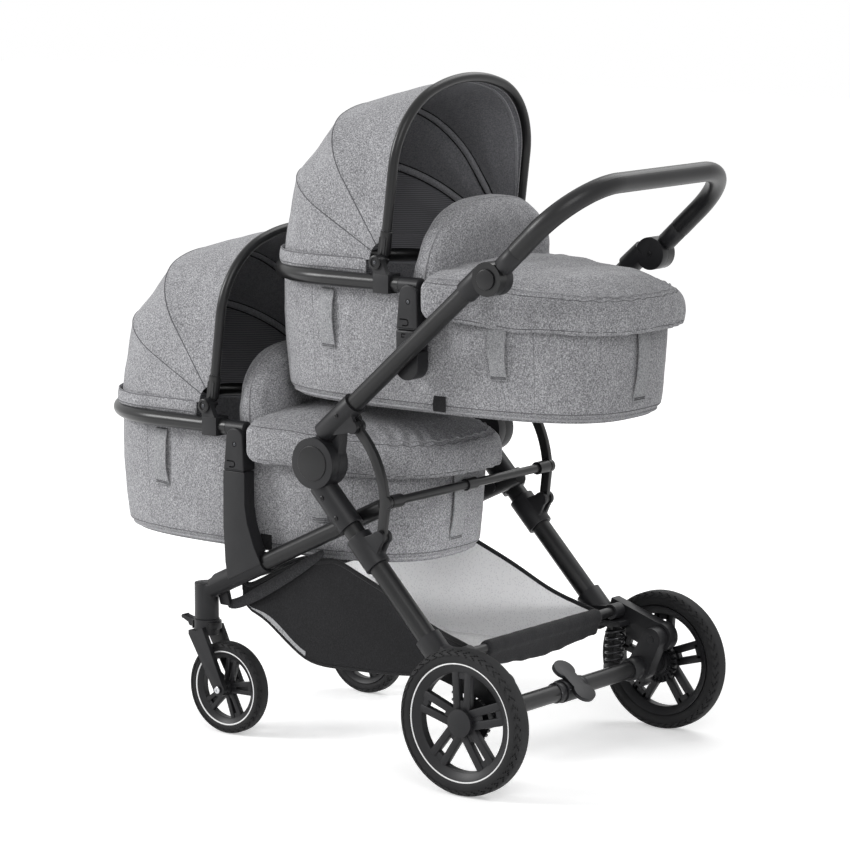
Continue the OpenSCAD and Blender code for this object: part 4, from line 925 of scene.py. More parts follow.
def canopy_point(cot, r, y, t, angle, lift=0.0):
    """A point of the canopy's cloth: along the arch, at an angle up from level behind the pivot, lifted off it."""
    rr = r + lift * math.sin(t)
    yy = y + lift * math.cos(t)
    turn = math.radians(angle)
    return on_cot(cot, CANOPY_PIVOT[0] - rr * math.cos(turn), yy, CANOPY_PIVOT[1] + rr * math.sin(turn))


def canopy_sag(angle, r):
    """How far the cloth dips under the arch between the hem, the ribs and the bow."""
    spans = ((0.0, RIBS[0], -5.0, 0.0, 5.0), (RIBS[0], RIBS[1], 0.0, 0.0, 9.0), (RIBS[1], BOW_ANGLE, 0.0, -1.0, 15.0))
    near = smooth_step(60.0, 220.0, r)
    for low, high, at_low, at_high, depth in spans:
        if low <= angle <= high:
            t = (angle - low) / (high - low)
            return (at_low + (at_high - at_low) * t - depth * math.sin(math.pi * t) ** 0.85) * near - 1.5
    return -1.5


class PRAM_OT_canopies(bpy.types.Operator):
    """Stretches the two canopies over their ribs, with bound ribs, seams and padded hems"""
    bl_idname = "pram.canopies"
    bl_label = "Canopies"

    def execute(self, context):
        sizes = context.scene.pram_sizes
        path = arch(34.0, 2)
        panels = (("rear", 0.0, RIBS[0], 14, "ribbed knit lining"),
                  ("middle", RIBS[0], RIBS[1], 14, "charcoal melange lining"),
                  ("front", RIBS[1], BOW_ANGLE - 1.2, 20, "charcoal melange lining"))
        for cot in COTS:
            pivot = PIVOT[f"{cot}_canopy_fold"]

            def spot(angle):
                """A point on the crown of the arch at this angle, to count the cloth's turning from."""
                return tuple(canopy_point(cot, 250.0, 0.0, math.pi / 2, angle))

            for part, low, high, steps, lining in panels:
                rows = []
                for i in range(steps + 1):
                    angle = low + (high - low) * i / steps
                    row = []
                    for r, y, t in path:
                        slack = 1.4 * waver(angle / 7, t * 5) * smooth_step(60, 160, r) * math.sin(math.pi * i / steps)
                        row.append(canopy_point(cot, r, y, t, angle, canopy_sag(angle, r) + slack))
                    rows.append(row)
                cloth = skin(f"{cot}_canopy_{part}", rows)
                middle = cloth.data.polygons[len(cloth.data.polygons) // 2]
                if middle.normal.dot(middle.center - pivot) < 0:
                    cloth.data.flip_normals()
                dress(cloth, ["melange polyester", lining], None)
                apply_modifier(cloth, "SOLIDIFY", thickness=sizes.cloth_thickness, offset=-1.0, material_offset=1)
                round_off(cloth, 60)
                if part == "rear":
                    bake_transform(cloth)
                    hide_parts(f"{cot}_canopy_rear")
                elif part == "middle":
                    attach(cloth, f"{cot}_canopy_middle")
                    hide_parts(f"{cot}_canopy_mid")
                else:
                    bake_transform(cloth)
                    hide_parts(f"{cot}_canopy_front")
            inside = arch(70.0, 1)
            strips = (("rib_tape_rear", RIBS[0], 15.0, 3.8, 0.0, "grey rib tape"),
                      ("rib_edge_rear", RIBS[0], 2.0, 5.0, 8.0, "black binding tape"),
                      ("rib_tape_front", RIBS[1], 15.0, 3.8, 0.0, "grey rib tape"),
                      ("rib_edge_front", RIBS[1], 2.0, 5.0, 8.0, "black binding tape"),
                      ("bow_tape", BOW_ANGLE - 4.6, 8.0, 3.4, 0.0, "grey rib tape"))
            for label, angle, width, depth, shift, material in strips:
                made = []
                for place in (-shift, shift) if shift else (0.0,):
                    rows = []
                    for r, y, t in inside:
                        row = []
                        for across, deep in ((-1, 0.0), (-0.8, 1.2), (0.8, 1.2), (1, 0.0), (0.8, -1.2), (-0.8, -1.2)):
                            turn = angle + math.degrees((place + across * width / 2) / max(r, 120.0))
                            row.append(canopy_point(cot, r, y, t, turn, canopy_sag(angle, r) - depth - deep))
                        rows.append(row)
                    made.append(clean(skin("strip", rows, ring=True, cap=True)))
                strip = join(f"{cot}_canopy_{label}", made)
                dress(strip, [material], f"{cot}_canopy_{'end' if label == 'bow_tape' else 'middle'}")
                round_off(strip, 50)
            seams = []
            for angle in RIBS:
                line = [canopy_point(cot, r, y, t, angle, canopy_sag(angle, r) + 0.2) for r, y, t in path]
                seams.append(tube("seam", line, 0.0009, 6, up=(0, 1, 0)))
            seam = join(f"{cot}_canopy_seams", seams)
            dress(seam, ["grey sewing thread"], f"{cot}_canopy_middle")
            top = CANOPY_PIVOT[1] + 4.0
            low = top - sizes.hem_height / MM
            rows = []
            for r, y, t in arch(40.0, 2):
                puff = 1.0 + 0.22 * waver(t * 9, r / 20)
                end = smooth_step(40, 62, r)
                row = []
                # The inner side stays outside the rib tapes, which come down here as the canopy folds.
                for out, up in ((2.6, 0.06), (3.4, 0.0), (6.2, 0.14), (7.6, 0.42), (6.4, 0.74), (4.6, 0.97), (3.4, 1.0),
                                (2.6, 0.9), (2.4, 0.5)):
                    lift = -4.0 + (out * puff if out > 0 else out) * (0.45 + 0.55 * end)
                    rr, yy = r + lift * math.sin(t), y + lift * math.cos(t)
                    base = low - 6.0 * (1 - end) + 1.2 * waver(t * 6, r / 28)
                    row.append(on_cot(cot, CANOPY_PIVOT[0] - rr, yy, base + (top - base) * up))
                rows.append(row)
            hem = clean(skin(f"{cot}_canopy_hem", rows, ring=True, cap=True))
            apply_modifier(hem, "SUBSURF", levels=1, render_levels=1)
            dress(hem, ["melange polyester"], f"{cot}_cot")
            round_off(hem, 70)
            surface = surface_of(hem)
            lines = []
            for z in (top - 1.2, low + 7.0):
                line = [on_cot(cot, CANOPY_PIVOT[0] - r - 4.0 * math.sin(t), y + 4.0 * math.cos(t), z)
                        for r, y, t in arch(46.0, 2)]
                lines.append(tube("line", laid(line, surface, -0.0001), 0.0009, 6))
            sewn = join(f"{cot}_canopy_hem_stitching", lines)
            dress(sewn, ["grey sewing thread"], f"{cot}_cot")
            rows = []
            for z in (-17.0, -8.0, 8.0, 24.0, 40.0):
                rows.append([on_cot(cot, CANOPY_PIVOT[0] - r + 10.0 * math.sin(t), y - 10.0 * math.cos(t), z)
                             for r, y, t in arch(38.0, 2)])
            valance = skin(f"{cot}_canopy_valance", rows)
            dress(valance, ["ribbed knit lining"], f"{cot}_cot")
            apply_modifier(valance, "SOLIDIFY", thickness=0.0014, offset=0.0)
            clean(valance)
            round_off(valance, 60)
        return {"FINISHED"}


class PRAM_OT_bows(bpy.types.Operator):
    """Bends the two canopy bows, with their ferrules, lugs and edge piping"""
    bl_idname = "pram.bows"
    bl_label = "Canopy bows"

    def execute(self, context):
        turn = math.radians(BOW_ANGLE)
        out = Vector((-math.cos(turn), 0, math.sin(turn)))
        across = Vector((0, 1, 0))
        axis = out.cross(across)
        bend = math.radians(ARCH["turn"])
        radius, foot = ARCH["shoulder"], 52.0
        for cot in COTS:
            pivot = PIVOT[f"{cot}_canopy_fold"]

            def at(r, y):
                """A point in the bow's own plane."""
                return pivot + out * (r * MM) + across * (y * MM)

            def upright(piece):
                """Turns a piece modelled along Z to the bow's own direction and fixes its place."""
                piece.rotation_euler = Vector((0, 0, 1)).rotation_difference(out).to_euler()
                pick(piece)
                bpy.ops.object.transform_apply(location=True, rotation=True, scale=True)

            bpy.ops.object.select_all(action="DESELECT")
            bpy.ops.mesh.primitive_circle_add(vertices=24, radius=0.009, fill_type="NOTHING",
                                              location=at(foot, ARCH["half"]))
            bow = context.object
            upright(bow)
            bpy.ops.object.mode_set(mode="EDIT")
            bpy.ops.mesh.select_mode(type="EDGE")
            bpy.ops.mesh.select_all(action="SELECT")

            def pull(vector):
                """Draws the tube's open end straight on."""
                bpy.ops.mesh.extrude_region_move(TRANSFORM_OT_translate={"value": tuple(vector)})

            def bend_on(centre, angle, steps):
                """Bends the tube's open end round a point."""
                bpy.ops.mesh.spin(steps=steps, angle=angle, center=tuple(centre), axis=tuple(axis))

            pull(out * ((ARCH["leg"] - foot) * MM))
            bend_on(at(ARCH["leg"], ARCH["half"] - radius), bend, 22)
            pull((out * math.cos(bend) - across * math.sin(bend)) * (ARCH["join"] * MM))
            r0 = ARCH["leg"] + radius * math.sin(bend) + ARCH["join"] * math.cos(bend)
            y0 = ARCH["half"] - radius * (1 - math.cos(bend)) - ARCH["join"] * math.sin(bend)
            top = y0 / math.cos(bend)
            bend_on(at(r0 - top * math.sin(bend), 0.0), math.pi - 2 * bend, 18)
            pull((-out * math.cos(bend) - across * math.sin(bend)) * (ARCH["join"] * MM))
            bend_on(at(ARCH["leg"], -(ARCH["half"] - radius)), bend, 22)
            pull(-out * ((ARCH["leg"] - foot) * MM))
            bpy.ops.object.mode_set(mode="OBJECT")
            pieces, rings = [clean(bow)], []
            for side in (-1, 1):
                bpy.ops.object.select_all(action="DESELECT")
                bpy.ops.mesh.primitive_cylinder_add(vertices=32, radius=0.0110, depth=0.040,
                                                    location=at(foot - 19.0, side * (ARCH["half"] + 0.5)))
                ferrule = context.object
                upright(ferrule)
                edit(ferrule)
                choose_faces(ferrule, lambda c, n: n.dot(out) > 0.9)
                bpy.ops.mesh.inset(thickness=0.0008, depth=0.0008)
                choose_faces(ferrule, lambda c, n: n.dot(out) < -0.9)
                bpy.ops.mesh.inset(thickness=0.004, depth=0.006)
                close_edit(ferrule)
                pieces.append(ferrule)
                lug = start("cylinder", vertices=32, radius=0.0115, depth=0.0076, location=at(0.0, side * 207.4),
                            rotation=(math.pi / 2, 0, 0))
                edit(lug)
                choose_faces(lug, lambda c, n: n.dot(out) > 0.75 and abs(n.y) < 0.5)
                bpy.ops.mesh.extrude_region_move(TRANSFORM_OT_translate={"value": tuple(out * 0.034)})
                close_edit(lug)
                pieces.append(clean(lug))
                bpy.ops.object.select_all(action="DESELECT")
                bpy.ops.mesh.primitive_torus_add(major_radius=0.0093, minor_radius=0.0007, major_segments=32,
                                                 minor_segments=8, location=at(foot + 4.0, side * ARCH["half"]))
                ring = context.object
                upright(ring)
                rings.append(ring)
            bow = join(f"{cot}_bow_tube", pieces)
            round_off(bow)
            dress(bow, ["satin coated aluminium"], f"{cot}_canopy_end")
            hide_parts(f"{cot}_canopy_bow")
            line = [canopy_point(cot, r, y, t, BOW_ANGLE - 1.2, -9.2) for r, y, t in arch(70.0, 2)]
            edge = tube(f"{cot}_bow_piping", line, 0.0012, 6, up=(0, 1, 0))
            dress(edge, ["melange piping"], f"{cot}_canopy_end")
            band = join(f"{cot}_bow_rings", rings)
            round_off(band, 60)
            dress(band, ["blackened steel"], f"{cot}_canopy_end")
        return {"FINISHED"}


class PRAM_OT_basket(bpy.types.Operator):
    """Hangs the basket with its net floor, bound rim, side straps, front bands and rear sleeve"""
    bl_idname = "pram.basket"
    bl_label = "Basket"

    def execute(self, context):
        shift = PIVOT["left_rear_wheel_spin"].x / MM
        # Each station: place along the pram, floor, rim, half width and how far down the wall the net's seam lies.
        stations = (
            (-609.0, 264.0, 290.0, 181.0, 0.97), (-596.0, 227.0, 278.0, 183.0, 0.97),
            (-572.0, 218.0, 288.0, 185.0, 0.94), (-545.0, 205.0, 302.0, 186.0, 0.89),
            (-515.0, 184.0, 316.0, 187.0, 0.91), (-485.0, 163.0, 330.0, 187.0, 0.96),
            (-455.0, 145.0, 344.0, 187.0, 0.97), (-425.0, 139.0, 342.0, 187.0, 0.97),
            (-395.0, 138.0, 354.0, 187.0, 0.97), (-365.0, 140.0, 347.0, 187.0, 0.97),
            (-335.0, 141.0, 334.0, 187.0, 0.97), (-300.0, 142.0, 321.0, 187.0, 0.97),
            (-265.0, 144.0, 307.0, 187.0, 0.97), (-230.0, 147.0, 291.0, 188.0, 0.97),
            (-195.0, 151.0, 273.0, 189.0, 0.97), (-165.0, 158.0, 260.0, 191.0, 0.97),
            (-135.0, 169.0, 250.0, 193.0, 0.97), (-100.0, 192.0, 241.0, 195.0, 0.97),
            (-67.0, 226.0, 232.0, 197.0, 0.97))
        rows, rim, foot = [], {-1: [], 1: []}, {-1: [], 1: []}
        for x, floor, high, half, seam in stations:
            deep = smooth_step(20, 120, high - floor)
            lip = 14.0 * min(1.0, (high - floor) / 80)
            sides = {}
            for side in (-1, 1):
                wall = []
                for k in range(9):
                    t = seam * k / 6 if k < 7 else seam + (1 - seam) * (k - 6) / 2
                    z = high + (floor + lip - high) * t
                    fold = 3.4 * abs(waver(x / 46 + side, z / 42)) * math.sin(math.pi * t) * deep
                    y = half * (1 - 0.03 * math.sin(math.pi * t) * deep) - fold
                    wall.append(Vector(((x + shift) * MM, side * y * MM, z * MM)))
                rim[side].append(wall[0])
                foot[side].append(wall[-1])
                for k in range(1, 7):
                    y = half * 0.96 * (1 - k / 7) ** 0.8
                    dip = 6.0 * (1 - (y / half) ** 2) * deep
                    z = floor + 4.0 + lip * (y / half) ** 5 - dip + 1.6 * waver(x / 60, y / 40) * deep
                    wall.append(Vector(((x + shift) * MM, side * y * MM, z * MM)))
                sides[side] = wall
            middle = Vector(((x + shift) * MM, 0.0, (floor + 4.0 - 6.0 * deep) * MM))
            rows.append(sides[-1] + [middle] + sides[1][::-1])
        bag = skin("basket_bag", rows)
        cloths = ["black oxford nylon", "pale knitted net", "grey knitted net", "sheer floor net"]
        dress(bag, cloths, None)
        across = len(rows[0]) - 1
        for index, face in enumerate(bag.data.polygons):
            station, place = divmod(index, across)
            place = min(place, across - 1 - place)
            if place >= 8:
                face.material_index = 3
            # Painted shade: the lower front of the walls gets the pale net darkened to grey.
            elif place >= 6 and station < 6:
                face.material_index = 2
        if min(bag.data.polygons, key=lambda p: p.center.z).normal.z > 0:
            bag.data.flip_normals()
        apply_modifier(bag, "SUBSURF", levels=2, render_levels=2)
        apply_modifier(bag, "SOLIDIFY", thickness=0.0022, offset=-1.0, material_offset=1)
        round_off(bag, 60)
        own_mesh(bag)
        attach(bag, "chassis")
        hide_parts("basket")
        strips, bands = [], []
        for side in (-1, 1):
            for line, width in ((rim[side], 0.010), (foot[side], 0.005)):
                rows = []
                for p in line:
                    rows.append([p + Vector((0, side * out, up * width * 0.5 - width * 0.3)) for out, up in (
                        (0.0016, -1.0), (0.0030, 0.0), (0.0016, 1.0), (-0.0030, 1.0), (-0.0042, 0.0), (-0.0030, -1.0))])
                strip = clean(skin("rim", rows, ring=True, cap=True))
                strips.append(apply_modifier(strip, "SUBSURF", levels=1, render_levels=1))
            band = ((-638.0, 229.0, 246.0), (-618.0, 230.0, 251.0), (-600.0, 236.0, 259.0), (-585.0, 243.0, 268.0),
                    (-565.0, 252.0, 280.0), (-547.0, 262.0, 290.0), (-520.0, 278.0, 306.0), (-485.0, 299.0, 326.0),
                    (-455.0, 319.0, 345.0), (-425.0, 341.0, 361.0), (-405.0, 356.0, 370.0))
            rows = []
            for x, low, high in band:
                x, y = (x + shift) * MM, side * 0.1905
                bow = side * 0.0026
                rows.append([Vector((x, y + bow * b, (low + (high - low) * f) * MM)) for b, f in (
                    (0, 0), (0.7, 0.25), (1.0, 0.5), (0.7, 0.75), (0, 1), (-0.6, 1), (-0.3, 0.5), (-0.6, 0))])
            strip = clean(skin("band", rows, ring=True, cap=True))
            bands.append(apply_modifier(strip, "SUBSURF", levels=1, render_levels=1))
        for name, pieces, material in (("basket_binding", strips, "black binding tape"),
                                       ("basket_front_bands", bands, "charcoal webbing")):
            binding = join(name, pieces)
            dress(binding, [material], None)
            round_off(binding, 60)
            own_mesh(binding)
            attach(binding, "chassis")
        low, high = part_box("basket_bar")
        bar = (low + high) / 2
        rows = []
        for i in range(41):
            y = -0.176 + 0.352 * i / 40
            uneven = 0.0012 * waver(y * 60, y * 23)
            tail = 0.026 + 0.005 * math.cos(math.pi * (y / 0.176)) + uneven
            row = []
            for k in range(12):
                t = math.radians(-60 + 300 * k / 11)
                reach = 0.0145 + 0.0007 * waver(y * 90, t)
                row.append(bar + Vector((reach * math.cos(t), y, reach * math.sin(t))))
            row += [bar + Vector((-0.006, y, -0.014 - tail * 0.4)), bar + Vector((-0.004 + uneven, y, -0.014 - tail)),
                    bar + Vector((0.001 + uneven, y, -0.0145 - tail)), bar + Vector((0.005, y, -0.014 - tail * 0.4))]
            rows.append(row)
        sleeve = clean(skin("basket_rear_sleeve", rows, ring=True, cap=True))
        apply_modifier(sleeve, "SUBSURF", levels=1, render_levels=1)
        dress(sleeve, ["black oxford nylon"], "chassis")
        round_off(sleeve, 70)
        return {"FINISHED"}


# Hard pieces

class PRAM_OT_mouldings(bpy.types.Operator):
    """Rounds the edges of the moulded fittings, as a mould leaves them"""
    bl_idname = "pram.mouldings"
    bl_label = "Mouldings"

    def execute(self, context):
        rounded = {
            ("moulded nylon", "moulding"): {
                "hinge_housings": 2.0, "hinge_arms": 2.0, "rear_casings": 3.5, "front_housings": 1.8,
                "link_sliders": 1.5,
                "handle_housings": 2.0, "adapter_sockets": 4.0, "lower_adapters": 5.0, "upper_canopy_clamps": 2.5,
                "lower_canopy_clamps": 2.5, "swing_arms": 2.5, "brake_pedal": 2.0, "fork_left": 3.0, "fork_right": 3.0,
                "swivel_lock_left": 1.0, "swivel_lock_right": 1.0},
            ("satin coated aluminium", "frame_tube"): {"fold_links": 4.0},
            ("smooth nylon", "moulding"): {"hinge_caps": 1.5, "handle_button_left": 1.5, "handle_button_right": 1.5},
        }
        owner = {}
        for body, nodes in frame["record"]["behaviour"]["bodies"].items():
            for name in nodes:
                owner[name] = body
        for (material, slot), nodes in rounded.items():
            for name, width in nodes.items():
                solid = frame["nodes"][name]
                piece = bpy.data.objects.new(f"{name}_moulded", solid.data.copy())
                context.scene.collection.objects.link(piece)
                piece.data.transform(solid.matrix_world)
                piece.data.materials.clear()
                pick(piece)
                bpy.ops.object.mode_set(mode="EDIT")
                bpy.ops.mesh.select_all(action="SELECT")
                bpy.ops.mesh.remove_doubles(threshold=0.00002)
                bpy.ops.mesh.dissolve_limited(angle_limit=math.radians(0.6))
                bpy.ops.object.mode_set(mode="OBJECT")
                apply_modifier(piece, "BEVEL", width=width * MM, segments=3, limit_method="ANGLE",
                               angle_limit=math.radians(38), use_clamp_overlap=True)
                if name == "brake_pedal":
                    axle = PIVOT["brake_pedal_turn"]
                    edit(piece)
                    choose_faces(piece, lambda c, n: math.hypot(c.x - axle.x, c.z - axle.z) > 0.0235)
                    bpy.ops.transform.resize(value=(1.06, 1.32, 1.06), center_override=tuple(axle))
                    bpy.ops.object.mode_set(mode="OBJECT")
                round_off(piece, 32)
                dress(piece, [material], owner[name])
                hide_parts(name)
        return {"FINISHED"}


def tyre_model(name, outer, width, rim, corner, blocks, depth):
    """One tyre round the Y axis at the origin: a spun rounded section with shoulder blocks raised in a zigzag."""
    tyre = start("plane", size=1.0, location=(0, 0, 0))
    bpy.ops.object.mode_set(mode="EDIT")
    bpy.ops.mesh.select_all(action="SELECT")
    bpy.ops.transform.resize(value=(outer - rim - depth, width - depth, 1.0), center_override=(0, 0, 0))
    bpy.ops.mesh.bevel(offset=corner, segments=8, affect="VERTICES")
    bpy.ops.mesh.select_all(action="SELECT")
    bpy.ops.transform.translate(value=((outer + rim - depth) / 2, 0, 0))
    bpy.ops.mesh.delete(type="ONLY_FACE")
    bpy.ops.mesh.select_all(action="SELECT")
    bpy.ops.mesh.spin(steps=blocks * 4, angle=2 * math.pi, center=(0, 0, 0), axis=(0, 1, 0))
    bpy.ops.mesh.select_all(action="SELECT")
    bpy.ops.mesh.remove_doubles(threshold=0.00005)
    bpy.ops.mesh.select_all(action="SELECT")
    bpy.ops.mesh.normals_make_consistent(inside=False)
    pitch = math.pi / (2 * blocks)

    def is_block(centre, normal):
        """Shoulder blocks whose gaps run in a zigzag, and a plain rib round the crown."""
        out = Vector((centre.x, 0, centre.z)).normalized().dot(normal)
        if out < 0.12:
            return False
        if out > 0.93:
            return True
        place = int(math.floor((math.atan2(centre.z, centre.x) + math.pi) / pitch)) % 4
        step = int(math.degrees(math.asin(out)) / 11.3) % 6
        climb = min(step, 6 - step)
        return place != (climb if centre.y > 0 else 3 - climb)

    choose_faces(tyre, is_block)
    bpy.ops.mesh.extrude_region_shrink_fatten(TRANSFORM_OT_shrink_fatten={"value": depth})
    bpy.ops.object.mode_set(mode="OBJECT")
    tyre.name = name
    return round_off(tyre, 40)


# Slots in each rear wheel's brake ring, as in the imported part.
BRAKE_SLOTS = 24


def rim_model(name, rim, width, hub, hub_in, hub_out, bar, near, far, phase, ring=None):
    """One rim round the Y axis at the origin, outer side to +Y: sloped barrel, hub and five pairs of spokes."""
    barrel = start("cylinder", vertices=96, radius=rim, depth=width, rotation=(math.pi / 2, 0, 0))
    edit(barrel)
    choose_faces(barrel, lambda c, n: abs(n.y) > 0.9)
    bpy.ops.mesh.inset(thickness=rim * 0.022, depth=-0.0008)
    bpy.ops.mesh.inset(thickness=rim * 0.105, depth=-width * 0.17)
    bpy.ops.mesh.inset(thickness=rim * 0.02, depth=-width * 0.06)
    bpy.ops.mesh.delete(type="FACE")
    bpy.ops.mesh.select_mode(type="EDGE")
    bpy.ops.mesh.select_non_manifold()
    bpy.ops.mesh.bridge_edge_loops()
    bpy.ops.object.mode_set(mode="OBJECT")
    inner = rim * (1 - 0.022 - 0.105 - 0.02)
    face = width / 2 - 0.0008 - width * 0.17
    thick = width * 0.42
    spoke = start("cube", size=1.0, location=((hub * 0.6 + inner + 0.003) / 2, face - thick / 2, near),
                  scale=(inner + 0.003 - hub * 0.6, thick, bar))
    edit(spoke)
    choose_faces(spoke, lambda c, n: n.x > 0.9)
    bpy.ops.transform.translate(value=(0, 0, far - near))
    bpy.ops.mesh.select_all(action="SELECT")
    bpy.ops.mesh.bevel(offset=bar * 0.16, segments=2, affect="EDGES")
    bpy.ops.object.mode_set(mode="OBJECT")
    mates = [spoke, copy_to(spoke, "spoke", Matrix.Diagonal((1, 1, -1, 1)))]
    for low, high, wide in ((hub * 0.6, hub * 1.55, near * 2), (inner - rim * 0.11, inner + 0.002, far * 2),
                            (hub * 1.5, inner - rim * 0.1, near + far)):
        # The long web in the middle lies deep in the pair's slot; only small wheels keep it.
        deep = wide == near + far
        if deep and rim > 0.08:
            continue
        back = thick * (0.55 if deep else 0.16)
        web = start("cube", size=1.0, location=((low + high) / 2, face - back - (thick - back) / 2, 0),
                    scale=(high - low, thick - back, wide))
        edit(web)
        bpy.ops.mesh.select_all(action="SELECT")
        bpy.ops.mesh.bevel(offset=0.0008, segments=1, affect="EDGES")
        bpy.ops.object.mode_set(mode="OBJECT")
        mates.append(web)
    pair = join("pair", mates)
    pieces = [barrel]
    for k in range(5):
        pieces.append(copy_to(pair, "pair", Matrix.Rotation(-math.radians(phase + 72 * k), 4, "Y")))
    bpy.data.objects.remove(pair)
    boss = start("cylinder", vertices=64, radius=hub, depth=hub_out - hub_in, location=(0, (hub_in + hub_out) / 2, 0),
                 rotation=(math.pi / 2, 0, 0))
    edit(boss)
    choose_faces(boss, lambda c, n: abs(n.y) > 0.9)
    bpy.ops.mesh.inset(thickness=0.0012, depth=0.0)
    bpy.ops.mesh.inset(thickness=0.0012, depth=0.0006)
    bpy.ops.object.mode_set(mode="OBJECT")
    pieces.append(boss)
    if ring:
        drum = start("cylinder", vertices=64, radius=ring, depth=0.008, location=(0, hub_in + 0.0042, 0),
                     rotation=(math.pi / 2, 0, 0))
        edit(drum)
        choose_faces(drum, lambda c, n: n.y < -0.9)
        bpy.ops.mesh.inset(thickness=0.0035)
        bpy.ops.mesh.inset(thickness=0.001, depth=-0.004)
        bpy.ops.object.mode_set(mode="OBJECT")
        # The slots that the brake pin drops into.
        slots = []
        for k in range(BRAKE_SLOTS):
            bar_cut = start("cube", size=1.0, location=(ring * 0.975, hub_in + 0.0032, 0),
                            scale=(0.020, 0.0084, 0.0054))
            bar_cut.data.transform(Matrix.Rotation(math.tau * k / BRAKE_SLOTS, 4, "Y"))
            slots.append(bar_cut)
        cut(drum, join("brake_slots", slots))
        pieces.append(drum)
    model = join(name, pieces)
    return round_off(clean(model), 36)


class PRAM_OT_wheels(bpy.types.Operator):
    """Moulds the rims with their paired spokes, the tyres with their tread and the bright rings"""
    bl_idname = "pram.wheels"
    bl_label = "Wheels"

    def execute(self, context):
        depth = context.scene.pram_sizes.tread_depth
        for end, outer, width, rim, corner, blocks, ring_at in (
                ("rear", 0.130, 0.038, 0.102, 0.0110, 46, 0.1052), ("front", 0.086, 0.030, 0.066, 0.0082, 34, 0.0692)):
            tyre_shape = tyre_model(f"{end}_tyre_model", outer, width, rim, corner, blocks, depth)
            if end == "rear":
                rim_shape = rim_model("rear_rim_model", 0.1030, 0.031, 0.0250, -0.0245, 0.0168, 0.0146, 0.0102, 0.0138,
                                      90.0, ring=0.041)
            else:
                rim_shape = rim_model("front_rim_model", 0.0668, 0.026, 0.0135, -0.0190, 0.0190, 0.0086, 0.0054, 0.0090,
                                      5.0)
            stripe = start("torus", major_radius=ring_at, minor_radius=0.0019, major_segments=96, minor_segments=8,
                           location=(0, 0, 0), rotation=(math.pi / 2, 0, 0))
            edit(stripe)
            bpy.ops.mesh.select_all(action="SELECT")
            bpy.ops.transform.resize(value=(1.0, 0.45, 1.0), center_override=(0, 0, 0))
            close_edit(stripe, 60)
            seat = width / 2 - depth / 2 - corner + math.sqrt(corner ** 2 - (rim + corner - ring_at) ** 2)
            for side, sign in SIDES.items():
                low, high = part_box(f"{end}_tyre_{side}")
                centre = (low + high) / 2
                place = Matrix.Translation(centre) @ Matrix.Diagonal((1, sign, 1, 1))
                tyre = copy_to(tyre_shape, f"{end}_tyre_{side}_moulded", place)
                dress(tyre, ["foam rubber"], f"{side}_{end}_wheel")
                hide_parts(f"{end}_tyre_{side}")
                spoked = copy_to(rim_shape, f"{end}_rim_{side}_moulded", place)
                dress(spoked, ["moulded nylon"], f"{side}_{end}_wheel")
                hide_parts(f"{end}_rim_{side}")
                ring = copy_to(stripe, f"{end}_tyre_{side}_ring", place @ Matrix.Translation((0, seat - 0.0002, 0)))
                dress(ring, ["white reflective film"], f"{side}_{end}_wheel")
            for model in (tyre_shape, rim_shape, stripe):
                bpy.data.objects.remove(model)
        return {"FINISHED"}


class PRAM_OT_springs(bpy.types.Operator):
    """Winds the two suspension springs"""
    bl_idname = "pram.springs"
    bl_label = "Springs"

    def execute(self, context):
        low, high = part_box("suspension_springs")
        wire, turns = 0.0026, 5.5
        coils = []
        for sign in (-1, 1):
            centre = Vector(((low.x + high.x) / 2, sign * 0.238, low.z))
            coil = start("circle", vertices=10, radius=wire, fill_type="NOTHING", location=(0, 0, 0),
                         rotation=(math.pi / 2, 0, 0))
            bpy.ops.object.mode_set(mode="EDIT")
            bpy.ops.mesh.select_all(action="SELECT")
            bpy.ops.transform.translate(value=(0.016, 0, wire))
            bpy.ops.object.mode_set(mode="OBJECT")
            rise = high.z - low.z - 2 * wire
            apply_modifier(coil, "SCREW", axis="Z", angle=turns * 2 * math.pi, screw_offset=rise, steps=int(turns * 28),
                           render_steps=int(turns * 28))
            coil.data.transform(Matrix.Translation(centre))
            edit(coil)
            bpy.ops.mesh.select_mode(type="EDGE")
            bpy.ops.mesh.select_non_manifold()
            bpy.ops.mesh.edge_face_add()
            bpy.ops.object.mode_set(mode="OBJECT")
            clean(coil)
            coils.append(coil)
        springs = join("suspension_spring_coils", coils)
        round_off(springs, 60)
        dress(springs, ["blackened steel"], None)
        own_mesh(springs)
        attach(springs, "chassis")
        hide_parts("suspension_springs")
        return {"FINISHED"}


def screw_model(radius, drive):
    """One domed screw along +Z at the origin with a six-sided socket."""
    screw = start("cylinder", vertices=24, radius=radius, depth=radius * 0.8, location=(0, 0, 0))
    edit(screw)
    choose_faces(screw, lambda c, n: n.z > 0.9)
    bpy.ops.mesh.inset(thickness=radius * 0.22, depth=radius * 0.14)
    bpy.ops.mesh.inset(thickness=radius * (0.78 - drive), depth=radius * 0.02)
    bpy.ops.mesh.extrude_region_move(TRANSFORM_OT_translate={"value": (0, 0, -radius * 0.3)})
    return close_edit(screw, 40)


